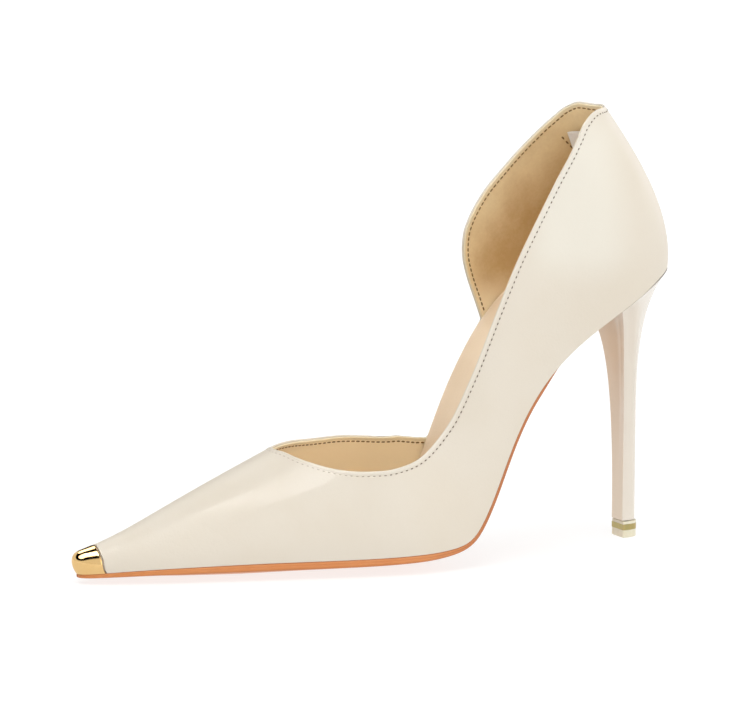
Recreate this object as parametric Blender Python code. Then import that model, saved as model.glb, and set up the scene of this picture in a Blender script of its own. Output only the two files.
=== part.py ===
"""Left stiletto pump: a pointed upper cut away on the inner side, with a metal toe tip,
a thin outsole, a padded insole, a covered stiletto heel, its tip and a label in the lining.

The shoe stands on the floor, with +Z up, its toe towards -X and its outer side towards -Y.
While it is modelled, x runs from the toe tip to the back of the heel, and everything is
moved at the end so that the origin lies under the middle of the shoe.
"""

import bmesh
import bpy
import numpy as np

MM = 0.001

# Driving sizes, in metres
SHOE_LENGTH = 234 * MM  # toe tip to the back of the feather line, where the upper meets the sole
BALL_WIDTH = 68 * MM  # across the feather line at the ball of the foot
SEAT_HEIGHT = 100.8 * MM  # floor to the back of the heel seat
CONE_HEIGHT = 200 * MM  # floor to the top of the last, above the collar
WALL = 1.6 * MM  # leather and lining of the upper
CLEARANCE = 0.3 * MM  # between pieces that touch

# Toe cap
CAP_ALONG = 4.25  # end of the cap at the feather line, percent of the length
CAP_THICKNESS = 0.8 * MM
CAP_PROUD = 0.15 * MM
RIM_SHIFT = 0.0046  # how far back the rim of the cap curves above the feather line, part of the way
RIM_SHARE = 0.4  # share of the wall over which the rim curves back
RIM_WAYS = (0.030, 0.050, 0.120)  # ways at which lines up the wall curve fully, less and no longer
TOE_FILL_ALONG = 6.0  # the tip of the upper is solid up to here, percent of the length

# Sole and insole
BREAST_ALONG = 82.5  # front of the heel, percent of the length
INSOLE_ALONG = 8.5  # front of the insole, percent of the length
INSOLE_INSET = WALL + 0.5 * MM
SOLE_BEVEL = 0.5 * MM
FLOOR_POWER = 1.25  # flatness of the sole across: higher keeps the middle flatter

# Heel: a flat breast in front and a round back
STEM_FRONT = 216.7 * MM  # breast of the stem, from the toe tip
STEM_WIDTH = 8.0 * MM
STEM_DEPTH = 6.9 * MM
TIP_HEIGHT = 6.2 * MM
TIP_OVERHANG = 0.2 * MM
TIP_SETBACK = 0.5 * MM

# Label sewn into the lining behind the heel
LABEL_THICKNESS = 0.7 * MM
LABEL_DEPTH = WALL + 0.45 * MM  # under the outer face of the upper
LABEL_WAYS = (1.030, 1.078)
LABEL_SHARES = (0.453, 0.514)

# Mesh fineness
UPPER_STEPS = 3  # columns of the upper for each span of the section table, besides those of its edge
SPAN_STEPS = 3  # columns of the other pieces for each span of the section table
WALL_LEVELS = 10  # levels from the feather line to the edge of the upper
SOLE_STEPS = 12  # strips across the sole
HEEL_LEVELS = 14
HEEL_SIDE_STEPS = 9
BREAST_STEPS = 4

# Sections of the last from toe to heel. Along and crown_along are percent of SHOE_LENGTH, lateral and
# medial are percent of BALL_WIDTH from the middle, bottom and arch (what the inner side lies higher)
# are percent of SEAT_HEIGHT, and crown is percent of CONE_HEIGHT.
SECTION_COLUMNS = ("along", "lateral", "medial", "bottom", "arch", "crown_along", "crown")
SECTIONS = (
    (0.8, 0.0, 0.0, 3.5, 0.0, 0.25, 4.9),
    (1.4, 3.9, 3.9, 3.6, 0.0, 0.6, 5.35),
    (3.2, 7.9, 7.9, 3.9, 0.0, 2.0, 6.0),
    (7.7, 14.6, 14.4, 4.7, 0.0, 6.6, 7.75),
    (17.1, 25.0, 25.0, 5.7, 0.0, 15.2, 12.1),
    (29.1, 36.0, 37.5, 6.3, 0.0, 26.3, 17.9),
    (41.0, 46.3, 49.3, 6.5, 0.0, 37.2, 23.5),
    (50.4, 51.5, 47.8, 7.0, 0.0, 45.3, 29.0),
    (56.0, 50.4, 41.9, 7.9, 0.0, 49.4, 33.5),
    (59.4, 48.8, 37.5, 10.3, 0.2, 51.7, 37.5),
    (62.0, 47.1, 35.6, 17.2, 0.5, 53.4, 41.5),
    (65.4, 44.6, 34.6, 32.8, 1.6, 55.8, 48.0),
    (70.1, 41.2, 34.6, 53.4, 5.6, 59.0, 57.5),
    (75.6, 39.0, 36.0, 68.7, 8.0, 62.8, 69.0),
    (82.1, 38.2, 36.8, 80.4, 5.8, 67.2, 80.0),
    (89.1, 36.4, 35.2, 90.1, 2.0, 72.0, 89.0),
    (94.9, 27.6, 27.0, 96.8, 0.4, 75.2, 95.0),
    (98.4, 15.2, 14.9, 99.6, 0.0, 76.6, 98.5),
    (100.0, 0.0, 0.0, 100.0, 0.0, 77.1, 100.0),
)

# Wall shape from the feather line up to the crown: how far it swells out, in millimetres, and
# the pull of the curve at its foot (lean, rise) and at the crown (spread, drop).
SHAPE_COLUMNS = ("along", "swell", "lean", "rise", "spread", "drop")
SHAPES = (
    (0.8, 2.7, 0.00, 0.60, 0.70, 0.00),
    (3.2, 1.9, 0.00, 0.58, 0.62, 0.00),
    (7.7, 0.9, 0.00, 0.52, 0.50, 0.00),
    (41.0, 2.0, 0.00, 0.45, 0.50, 0.00),
    (62.0, 1.5, 0.00, 0.42, 0.62, 0.03),
    (75.6, 2.0, 0.00, 0.40, 0.72, 0.06),
    (94.9, 3.8, 0.04, 0.36, 0.52, 0.22),
    (100.0, 6.0, 0.06, 0.33, 0.34, 0.33),
)

# Edge of the upper: share of the wall that is left, by the place on the feather line.
EDGE_COLUMNS = ("along", "share")
LATERAL_EDGE = (
    (36.2, 1.000),
    (36.25, 0.960),
    (36.6, 0.905),
    (37.8, 0.764),
    (39.9, 0.644),
    (42.2, 0.561),
    (44.6, 0.506),
    (47.3, 0.466),
    (50.5, 0.436),
    (54.0, 0.427),
    (60.8, 0.446),
    (66.0, 0.442),
    (72.2, 0.429),
    (77.0, 0.437),
    (81.8, 0.459),
    (87.7, 0.526),
    (90.4, 0.570),
    (92.6, 0.603),
    (94.6, 0.617),
    (96.6, 0.619),
    (98.4, 0.615),
    (100.0, 0.612),
)
MEDIAL_EDGE = (
    (36.2, 1.000),
    (36.25, 0.960),
    (36.6, 0.910),
    (37.4, 0.840),
    (39.4, 0.759),
    (41.3, 0.701),
    (46.3, 0.572),
    (52.5, 0.481),
    (56.3, 0.409),
    (60.7, 0.301),
    (62.5, 0.221),
    (64.0, 0.135),
    (65.0, 0.078),
    (66.5, 0.062),
    (74.6, 0.075),
    (74.9, 0.160),
    (75.1, 0.270),
    (75.4, 0.345),
    (76.0, 0.397),
    (77.0, 0.437),
    (80.2, 0.471),
    (85.2, 0.495),
    (90.4, 0.538),
    (92.0, 0.555),
    (94.0, 0.576),
    (96.1, 0.599),
    (98.0, 0.616),
    (98.9, 0.618),
    (100.0, 0.612),
)

# Thickness of the sole and the insole, in millimetres, and sag of the sole across the middle.
SOLE_COLUMNS = ("along", "sole", "insole", "sag")
SOLE_LAYERS = (
    (0.0, 1.2, 0.8, 0.0),
    (7.7, 1.6, 1.0, 1.2),
    (17.1, 2.1, 1.6, 3.4),
    (29.1, 2.4, 2.2, 5.0),
    (41.0, 2.4, 2.4, 5.4),
    (50.4, 2.3, 2.6, 5.4),
    (56.0, 1.9, 3.4, 4.2),
    (62.0, 1.2, 4.6, 1.6),
    (70.1, 1.0, 5.4, 1.0),
    (82.1, 1.0, 5.4, 0.8),
    (100.0, 1.0, 4.4, 0.6),
)

# Flare of the heel below its seat, from the breast round to the back: the angle under the seat,
# in degrees from straight down, and the length of the curve's pull at the seat and at the stem.
FLARE_COLUMNS = ("round", "angle", "seat_pull", "stem_pull")
HEEL_FLARE = (
    (0.0, 102.0, 22.5, 83.0),
    (0.35, 72.0, 18.0, 76.0),
    (1.0, 26.0, 26.0, 62.0),
)

# Finish of each piece: linear base colour, roughness and metallic value.
FINISHES = {
    "upper": ((0.83, 0.77, 0.67), 0.22, 0.0),
    "toe_cap": ((0.90, 0.66, 0.30), 0.12, 1.0),
    "outsole": ((0.62, 0.23, 0.07), 0.45, 0.0),
    "insole": ((0.72, 0.50, 0.32), 0.55, 0.0),
    "heel": ((0.80, 0.71, 0.62), 0.25, 0.0),
    "heel_tip": ((0.80, 0.73, 0.52), 0.30, 0.0),
    "lining_label": ((0.80, 0.79, 0.76), 0.70, 0.0),
}


def table(rows, names):
    """One array for each named column of a table."""
    return dict(zip(names, np.array(rows, float).T))


def cubic(start, end, start_slope, end_slope, span, part):
    """Cubic between two rows with the given slopes; part runs from 0 to 1 along the span."""
    part2, part3 = part**2, part**3
    return (
        start * (2 * part3 - 3 * part2 + 1)
        + start_slope * span * (part3 - 2 * part2 + part)
        + end * (3 * part2 - 2 * part3)
        + end_slope * span * (part3 - part2)
    )


def smooth_step(part):
    """Smooth rise from 0 to 1 while part runs from 0 to 1."""
    part = np.clip(part, 0, 1)
    return part**2 * (3 - 2 * part)


class ClosedCurve:
    """Closed cubic spline through rows of numbers, smooth all the way round."""

    def __init__(self, knots, rows, period):
        self.knots, self.rows, self.period = knots, rows, period
        self.spans = np.diff(np.append(knots, knots[0] + period))
        rises = (np.roll(rows, -1, axis=0) - rows) / self.spans[:, None]
        count = len(knots)
        system = np.zeros((count, count))
        target = np.zeros_like(rows)
        for i in range(count):
            before, after = self.spans[i - 1], self.spans[i]
            system[i, i - 1] += after
            system[i, i] += 2 * (before + after)
            system[i, (i + 1) % count] += before
            target[i] = 3 * (after * rises[i - 1] + before * rises[i])
        self.slopes = np.linalg.solve(system, target)

    def at(self, way):
        way = np.mod(np.asarray(way, float) - self.knots[0], self.period) + self.knots[0]
        i = np.clip(np.searchsorted(self.knots, way, side="right") - 1, 0, len(self.knots) - 1)
        j = (i + 1) % len(self.knots)
        span = self.spans[i][..., None]
        part = (way - self.knots[i])[..., None] / span
        return cubic(self.rows[i], self.rows[j], self.slopes[i], self.slopes[j], span, part)


class SteadyTable:
    """Table of columns over its first column, joined by cubics that never overshoot a row."""

    def __init__(self, rows, names):
        values = np.array(rows, float)
        self.names = names[1:]
        self.knots, self.rows = values[:, 0], values[:, 1:]
        spans = np.diff(self.knots)
        rises = np.diff(self.rows, axis=0) / spans[:, None]
        before, after = rises[:-1], rises[1:]
        near = (2 * spans[1:] + spans[:-1])[:, None]
        far = (spans[1:] + 2 * spans[:-1])[:, None]
        same_way = before * after > 0
        safe = np.where(same_way, near * after + far * before, 1.0)
        self.slopes = np.zeros_like(self.rows)
        self.slopes[1:-1] = np.where(same_way, (near + far) * before * after / safe, 0.0)

    def at(self, place):
        place = np.clip(np.asarray(place, float), self.knots[0], self.knots[-1])
        i = np.clip(np.searchsorted(self.knots, place, side="right") - 1, 0, len(self.knots) - 2)
        span = (self.knots[i + 1] - self.knots[i])[..., None]
        part = (place - self.knots[i])[..., None] / span
        values = cubic(self.rows[i], self.rows[i + 1], self.slopes[i], self.slopes[i + 1], span, part)
        return {name: values[..., k : k + 1] for k, name in enumerate(self.names)}


class Last:
    """The form the shoe is made on. A way of 0 to 1 runs along the outer feather line from the toe
    tip to the back of the heel, and 1 to 2 runs back along the inner one. A share of 0 is the feather
    line, and 1 is the crown, the line over the middle of the foot."""

    STEP = 1e-4

    def __init__(self):
        section = table(SECTIONS, SECTION_COLUMNS)
        along = section["along"] / 100 * SHOE_LENGTH
        lateral = section["lateral"] / 100 * BALL_WIDTH
        medial = section["medial"] / 100 * BALL_WIDTH
        bottom = section["bottom"] / 100 * SEAT_HEIGHT
        arch = section["arch"] / 100 * SEAT_HEIGHT
        crown_along = section["crown_along"] / 100 * SHOE_LENGTH
        crown = section["crown"] / 100 * CONE_HEIGHT
        steps = np.hypot(np.hypot(np.diff(along), np.diff(lateral + medial) / 2), np.diff(bottom))
        self.path = np.concatenate([[0.0], np.cumsum(steps)]) / steps.sum()
        self.percent = section["along"]
        outer = np.stack([along, -lateral, bottom, crown_along, crown], axis=1)
        inner = np.stack([along, medial, bottom + arch, crown_along, crown], axis=1)
        knots = np.concatenate([self.path, 2 - self.path[-2:0:-1]])
        self.ring = ClosedCurve(knots, np.concatenate([outer, inner[-2:0:-1]]), 2.0)
        self.shape = SteadyTable(SHAPES, SHAPE_COLUMNS)

    def path_at(self, percent):
        """Way along the outer side for a percentage of the length."""
        ways = np.linspace(0, 1, 2001)
        return np.interp(percent, self.percent_at(ways), ways)

    def percent_at(self, way):
        """Percentage of the length at a way on either side."""
        return self.ring.at(way)[..., 0] / SHOE_LENGTH * 100

    def feather(self, way):
        return self.ring.at(way)[..., :3]

    def outward(self, way):
        """Level direction out of the feather line."""
        run = self.feather(np.asarray(way) + self.STEP) - self.feather(np.asarray(way) - self.STEP)
        out = np.stack([run[..., 1], -run[..., 0], np.zeros_like(run[..., 0])], axis=-1)
        return out / np.linalg.norm(out, axis=-1, keepdims=True)

    def curved_back(self, way, share):
        """Way of a point on the wall: near the toe, lines up the wall curve back towards the heel."""
        turned = np.mod(way, 2.0)
        path = 1 - np.abs(1 - turned)
        full, less, none = RIM_WAYS
        amount = smooth_step(path / full) * (1 - smooth_step((path - less) / (none - less)))
        towards_heel = np.where(turned <= 1, 1.0, -1.0)
        return way + towards_heel * RIM_SHIFT * amount * smooth_step(share / RIM_SHARE)

    def surface(self, way, share):
        """Outer face of the upper: a cubic curve from the feather line to the crown."""
        way, share = np.broadcast_arrays(np.asarray(way, float), np.asarray(share, float))
        way = self.curved_back(way, share)
        row = self.ring.at(way)
        foot = row[..., :3]
        level = np.zeros_like(row[..., 0])
        crown = np.stack([row[..., 3], level, row[..., 4]], axis=-1)
        out = self.outward(way)
        path = np.where(way <= 1, way, 2 - way)
        shape = self.shape.at(self.percent_at(path))
        rise = crown - foot
        reach = -(rise * out).sum(axis=-1, keepdims=True)
        upright = rise + out * reach
        across = np.stack([level, foot[..., 1], level], axis=-1)
        heelward = smooth_step((path[..., None] - 0.35) / 0.25)
        spread = across + (out * reach - across) * heelward
        low = foot + out * (shape["swell"] * MM - shape["lean"] * reach) + upright * shape["rise"]
        high = crown + spread * shape["spread"] - upright * shape["drop"]
        up = share[..., None]
        down = 1 - up
        return down**3 * foot + 3 * down**2 * up * low + 3 * down * up**2 * high + up**3 * crown

    def normal(self, way, share):
        """Direction out of the outer face."""
        way, share = np.broadcast_arrays(np.asarray(way, float), np.asarray(share, float))
        at_end = np.abs(way - np.round(way)) < self.STEP
        below = np.where(at_end, np.minimum(share, 1 - 100 * self.STEP), share)
        along = self.surface(way + self.STEP, below) - self.surface(way - self.STEP, below)
        upward = self.surface(way, share + self.STEP) - self.surface(way, share - self.STEP)
        out = np.cross(along, upward)
        return out / np.linalg.norm(out, axis=-1, keepdims=True)

    def inside(self, way, share, depth):
        """Point at a depth under the outer face."""
        return self.surface(way, share) - self.normal(way, share) * depth


LAST = Last()
LAYERS = SteadyTable(SOLE_LAYERS, SOLE_COLUMNS)


class Skin:
    """Gathers grids of points and the faces between them into one closed mesh."""

    WELD = 1e-6

    def __init__(self):
        self.points = []
        self.faces = []

    def add(self, grid):
        """Adds a grid of points and returns their numbers in the same layout."""
        grid = np.asarray(grid, float)
        first = len(self.points)
        self.points.extend(grid.reshape(-1, 3).tolist())
        return np.arange(first, len(self.points)).reshape(grid.shape[:-1])

    def cover(self, numbers):
        """Adds a four-sided face for each cell of a grid of numbers."""
        cells = zip(numbers[:-1, :-1].flat, numbers[1:, :-1].flat, numbers[1:, 1:].flat, numbers[:-1, 1:].flat)
        self.faces.extend([int(n) for n in cell] for cell in cells)

    def bridge(self, one_line, other_line):
        """Adds a strip of faces between two lines of numbers."""
        self.cover(np.stack([one_line, other_line], axis=1))

    def build(self, name, crease=35.0):
        """Makes the object, with its seams welded and its faces pointing out."""
        mesh = bpy.data.meshes.new(name)
        mesh.from_pydata(self.points, [], self.faces)
        shell = bmesh.new()
        shell.from_mesh(mesh)
        bmesh.ops.remove_doubles(shell, verts=shell.verts, dist=self.WELD)
        bmesh.ops.dissolve_degenerate(shell, edges=shell.edges, dist=self.WELD)
        bmesh.ops.triangulate(shell, faces=shell.faces)
        bmesh.ops.recalc_face_normals(shell, faces=shell.faces)
        shell.to_mesh(mesh)
        shell.free()
        mesh.shade_smooth()
        mesh.set_sharp_from_angle(angle=np.radians(crease))
        mesh.materials.append(finish(name))
        shoe_piece = bpy.data.objects.new(name, mesh)
        bpy.context.scene.collection.objects.link(shoe_piece)
        return shoe_piece


def finish(name):
    """Material of a piece from the table of finishes."""
    colour, roughness, metallic = FINISHES[name]
    material = bpy.data.materials.new(name)
    material.use_nodes = True
    shader = material.node_tree.nodes["Principled BSDF"]
    shader.inputs["Base Color"].default_value = (*colour, 1.0)
    shader.inputs["Roughness"].default_value = roughness
    shader.inputs["Metallic"].default_value = metallic
    return material


def columns(start, end, extra=(), steps=SPAN_STEPS):
    """Ways from start to end: each span of the section table is cut evenly, and extra ones are put in."""
    knots = LAST.path
    even = [np.linspace(a, b, steps, endpoint=False) for a, b in zip(knots[:-1], knots[1:])]
    ways = np.concatenate([*even, [1.0]])
    ways = ways[(ways > start) & (ways < end)]
    apart = 0.4 * np.median(np.diff(LAST.path)) / steps
    fixed = np.array([start, end, *extra])
    ways = ways[np.min(np.abs(ways[:, None] - fixed), axis=1) > apart]
    return np.unique(np.concatenate([ways, fixed]))


def bottom_slope(way):
    """Direction square to the bottom of the last, in the upright plane through its length."""
    way = np.clip(way, 10 * LAST.STEP, 1 - 10 * LAST.STEP)
    ahead, behind = way + LAST.STEP, way - LAST.STEP
    run = LAST.feather(ahead) - LAST.feather(behind) + LAST.feather(2 - ahead) - LAST.feather(2 - behind)
    square = np.stack([-run[..., 2], np.zeros_like(run[..., 0]), run[..., 0]], axis=-1)
    return square / np.linalg.norm(square, axis=-1, keepdims=True)


def bottom_strip(ways, inset, strips):
    """Grid over the bottom of the last from the outer to the inner side, drawn in from the feather
    line by the inset, with the sag of the sole across the middle."""
    outer = LAST.feather(ways) - LAST.outward(ways) * inset
    inner = LAST.feather(2 - ways) - LAST.outward(2 - ways) * inset
    width = np.linalg.norm(LAST.feather(ways) - LAST.feather(2 - ways), axis=-1)
    margin = np.clip(inset / np.maximum(width, LAST.STEP * MM), 0, 0.5)[:, None]
    across = np.linspace(0, 1, strips + 1)[None, :]
    flat = outer[:, None] + (inner - outer)[:, None] * across[..., None]
    place = margin + across * (1 - 2 * margin)
    sag = LAYERS.at(LAST.percent_at(ways))["sag"] * MM * (1 - np.abs(2 * place - 1) ** FLOOR_POWER)
    return flat - bottom_slope(ways)[:, None] * sag[..., None]


def make_upper():
    """One leather wall round the foot: closed over the toes, open at the throat and collar, cut away
    on the inner side of the waist and open underneath, with a recess for the toe cap."""
    cap_end = LAST.path_at(CAP_ALONG) + CLEARANCE / SHOE_LENGTH
    step = cap_end + CLEARANCE / SHOE_LENGTH
    throat = float(LAST.path_at(LATERAL_EDGE[0][0]))
    fill_end = float(LAST.path_at(TOE_FILL_ALONG))
    edge_marks = {float(LAST.path_at(row[0])) for row in LATERAL_EDGE + MEDIAL_EDGE}
    ways = columns(0.0, 1.0, (cap_end, step, fill_end, *edge_marks), UPPER_STEPS)
    percent = LAST.percent_at(ways)
    levels = np.linspace(0, 1, WALL_LEVELS + 1)
    recess = np.where(ways <= cap_end, CAP_THICKNESS + CLEARANCE - CAP_PROUD, 0.0)[:, None, None]
    hollow = int(np.argmin(np.abs(ways - fill_end)))
    opening = int(np.argmin(np.abs(ways - throat)))
    skin = Skin()
    feet = []
    for side, edge_rows in ((ways, LATERAL_EDGE), (2 - ways, MEDIAL_EDGE)):
        edge = SteadyTable(edge_rows, EDGE_COLUMNS).at(percent)["share"]
        way, share = np.broadcast_arrays(side[:, None], edge * levels[None, :])
        outer = skin.add(LAST.inside(way, share, recess))
        inner = skin.add(LAST.inside(way, share, WALL)[hollow:])
        skin.cover(outer)
        skin.cover(inner)
        skin.bridge(outer[opening:, -1], inner[opening - hollow :, -1])
        skin.bridge(outer[hollow:, 0], inner[:, 0])
        feet.append((outer, inner))
    (outer_a, inner_a), (outer_b, inner_b) = feet
    skin.bridge(outer_a[: hollow + 1, 0], outer_b[: hollow + 1, 0])
    skin.bridge(inner_a[0], inner_b[0])
    skin.cover(np.array([[outer_a[hollow, 0], inner_a[0, 0]], [outer_b[hollow, 0], inner_b[0, 0]]]))
    return skin.build("upper")


def make_toe_cap():
    """Thin metal shell over the tip of the toe, open behind and below."""
    ways = columns(0.0, float(LAST.path_at(CAP_ALONG)))
    levels = np.linspace(0, 1, WALL_LEVELS + 1)
    skin = Skin()
    for side in (ways, 2 - ways):
        way, share = np.broadcast_arrays(side[:, None], levels[None, :])
        outer = skin.add(LAST.inside(way, share, -CAP_PROUD))
        inner = skin.add(LAST.inside(way, share, CAP_THICKNESS - CAP_PROUD))
        skin.cover(outer)
        skin.cover(inner)
        skin.bridge(outer[-1], inner[-1])
        skin.bridge(outer[:, 0], inner[:, 0])
    return skin.build("toe_cap")


def make_slab(name, ways, inset, bottom_depth, top_depth, bevel=0.0):
    """Layer that follows the bottom of the last between two depths below it, level where it meets the floor."""
    square = bottom_slope(ways)[:, None]
    skin = Skin()
    top = bottom_strip(ways, inset, SOLE_STEPS) - square * top_depth[:, None]
    low = bottom_strip(ways, inset + bevel, SOLE_STEPS) - square * bottom_depth[:, None]
    low[..., 2] = np.maximum(low[..., 2], 0.0)
    top_numbers, low_numbers = skin.add(top), skin.add(low)
    skin.cover(top_numbers)
    skin.cover(low_numbers)
    for edge in (np.s_[:, 0], np.s_[:, -1], np.s_[0, :], np.s_[-1, :]):
        skin.bridge(top_numbers[edge], low_numbers[edge])
    return skin.build(name)


def make_outsole():
    """Thin sole from the toe tip to the breast of the heel, flat where it stands on the floor."""
    end = float(LAST.path_at(BREAST_ALONG)) - CLEARANCE / SHOE_LENGTH
    ways = columns(LAST.STEP * 10, end)
    thickness = LAYERS.at(LAST.percent_at(ways))["sole"] * MM
    gap = np.full_like(thickness, CLEARANCE)
    return make_slab("outsole", ways, 0.0, gap + thickness, gap, SOLE_BEVEL)


def make_insole():
    """Padded board and sock inside the upper, from behind the toe to the back of the heel."""
    start = float(LAST.path_at(INSOLE_ALONG))
    ways = columns(start, 1.0)
    thickness = LAYERS.at(LAST.percent_at(ways))["insole"] * MM
    return make_slab("insole", ways, INSOLE_INSET, np.zeros_like(thickness), -thickness)


def stem_outline():
    """Section of the heel's stem, from the outer end of the breast round the back to the inner end."""
    turn = np.linspace(0, np.pi, 2 * HEEL_SIDE_STEPS + 1)
    return np.stack([STEM_DEPTH * np.sin(turn) ** 0.8, -STEM_WIDTH / 2 * np.cos(turn)], axis=1)


def make_heel():
    """Covered heel: its top follows the heel seat, and it narrows in a hollow curve to a slim stem."""
    start = float(LAST.path_at(BREAST_ALONG))
    ways = np.linspace(start, 1.0, HEEL_SIDE_STEPS + 1)
    seat = bottom_strip(ways, 0.0, BREAST_STEPS) - bottom_slope(ways)[:, None] * CLEARANCE
    round_edge = np.concatenate([seat[:, 0], seat[-2::-1, -1]])
    breast_edge = seat[0, -2:0:-1]
    top = np.concatenate([round_edge, breast_edge])
    outline = stem_outline()
    across = np.linspace(1, -1, BREAST_STEPS + 1)[1:-1] * STEM_WIDTH / 2
    breast = np.stack([np.zeros_like(across), across], axis=1)
    stem = np.concatenate([outline, breast])
    level = np.full(len(stem), TIP_HEIGHT + CLEARANCE)
    foot = np.stack([STEM_FRONT + stem[:, 0], stem[:, 1], level], axis=1)
    half_way = np.linspace(0, 1, HEEL_SIDE_STEPS + 1)
    place = np.concatenate([half_way, half_way[-2::-1], np.zeros(len(across))])
    flare = SteadyTable(HEEL_FLARE, FLARE_COLUMNS).at(place)
    inward = (foot - top) * (1, 1, 0)
    inward /= np.linalg.norm(inward, axis=1, keepdims=True)
    angle = np.radians(flare["angle"])
    leave = inward * np.sin(angle) - np.array([0, 0, 1]) * np.cos(angle)
    low = foot + np.array([0, 0, 1]) * flare["stem_pull"] * MM
    high = top + leave * flare["seat_pull"] * MM
    up = np.linspace(0, 1, HEEL_LEVELS + 1)[:, None, None]
    down = 1 - up
    rings = down**3 * foot + 3 * down**2 * up * low + 3 * down * up**2 * high + up**3 * top
    skin = Skin()
    numbers = skin.add(rings)
    skin.cover(np.concatenate([numbers, numbers[:, :1]], axis=1))
    skin.faces.append([int(n) for n in numbers[0]])
    seat_numbers = skin.add(seat)
    skin.cover(seat_numbers)
    return skin.build("heel")


def make_heel_tip():
    """Wearing tip under the stem, flat on the floor."""
    outline = stem_outline()
    middle = np.array([STEM_DEPTH / 2, 0.0])
    wide = middle + (outline - middle) * (1 + 2 * TIP_OVERHANG / STEM_DEPTH)
    skin = Skin()
    rings = []
    for height in (0.0, TIP_HEIGHT):
        ring = np.column_stack([STEM_FRONT + TIP_SETBACK + wide[:, 0], wide[:, 1], np.full(len(wide), height)])
        rings.append(skin.add(ring))
        skin.faces.append([int(n) for n in rings[-1]])
    closed = [np.append(ring, ring[0]) for ring in rings]
    skin.bridge(*closed)
    return skin.build("heel_tip")


def make_label():
    """Small woven label that lies on the lining behind the heel."""
    ways = np.linspace(*LABEL_WAYS, 7)
    shares = np.linspace(*LABEL_SHARES, 7)
    way, share = np.broadcast_arrays(ways[:, None], shares[None, :])
    skin = Skin()
    back = skin.add(LAST.inside(way, share, LABEL_DEPTH))
    front = skin.add(LAST.inside(way, share, LABEL_DEPTH + LABEL_THICKNESS))
    skin.cover(back)
    skin.cover(front)
    for edge in (np.s_[:, 0], np.s_[:, -1], np.s_[0, :], np.s_[-1, :]):
        skin.bridge(back[edge], front[edge])
    return skin.build("lining_label")


def stand_on_origin(pieces):
    """Moves the pieces so that the middle of the shoe is over the origin."""
    points = np.concatenate([[v.co for v in piece.data.vertices] for piece in pieces])
    middle = (points.min(axis=0) + points.max(axis=0)) / 2
    for piece in pieces:
        for vertex in piece.data.vertices:
            vertex.co.x -= middle[0]
            vertex.co.y -= middle[1]


def main():
    for old in list(bpy.data.objects):
        bpy.data.objects.remove(old)
    makers = (make_upper, make_toe_cap, make_outsole, make_insole, make_heel, make_heel_tip, make_label)
    stand_on_origin([make() for make in makers])


main()
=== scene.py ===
"""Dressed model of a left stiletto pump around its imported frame.

The frame is in metres with +Z up, the toe towards -X and the outer side of the foot towards -Y.
Shapes are worked out in the shoe's own coordinates, where x runs from the toe tip to the back of
the heel, and are moved into the frame when their mesh is made.
"""

import logging
from dataclasses import dataclass, replace
from enum import Enum
from typing import Any

import bmesh
import bpy
import numpy as np
from mathutils import Matrix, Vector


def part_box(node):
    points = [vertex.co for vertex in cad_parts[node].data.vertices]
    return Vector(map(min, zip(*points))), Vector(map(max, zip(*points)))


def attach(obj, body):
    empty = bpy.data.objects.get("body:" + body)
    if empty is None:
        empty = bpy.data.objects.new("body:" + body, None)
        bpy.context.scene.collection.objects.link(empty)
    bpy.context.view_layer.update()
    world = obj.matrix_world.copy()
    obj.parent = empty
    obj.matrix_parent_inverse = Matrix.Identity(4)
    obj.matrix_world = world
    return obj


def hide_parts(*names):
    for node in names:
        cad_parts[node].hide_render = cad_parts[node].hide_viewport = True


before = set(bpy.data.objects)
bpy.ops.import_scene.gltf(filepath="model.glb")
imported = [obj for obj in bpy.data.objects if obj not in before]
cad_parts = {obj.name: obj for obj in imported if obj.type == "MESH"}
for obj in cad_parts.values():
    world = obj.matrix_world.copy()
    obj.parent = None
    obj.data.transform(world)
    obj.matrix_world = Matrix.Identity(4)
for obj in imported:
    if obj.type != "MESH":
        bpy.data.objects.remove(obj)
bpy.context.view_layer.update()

Array = np.ndarray
Colour = tuple[float, float, float]
Rows = tuple[tuple[float, ...], ...]
Range = tuple[float, float]
Band = tuple[float, float, float]
Profile = tuple[Range, ...]

LOG = logging.getLogger("pump")
BODY = "root"
MM = 0.001
TINY = 1e-12
UP = np.array([0.0, 0.0, 1.0])
TURN = 2 * np.pi

# Measures that pieces share: the wall of the upper, the room between pieces, and the end of the toe cap
# and the start of the heel in percent of the length.
WALL = 1.6 * MM
CLEARANCE = 0.3 * MM
CAP_ALONG = 4.25
BREAST_ALONG = 82.5

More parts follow.
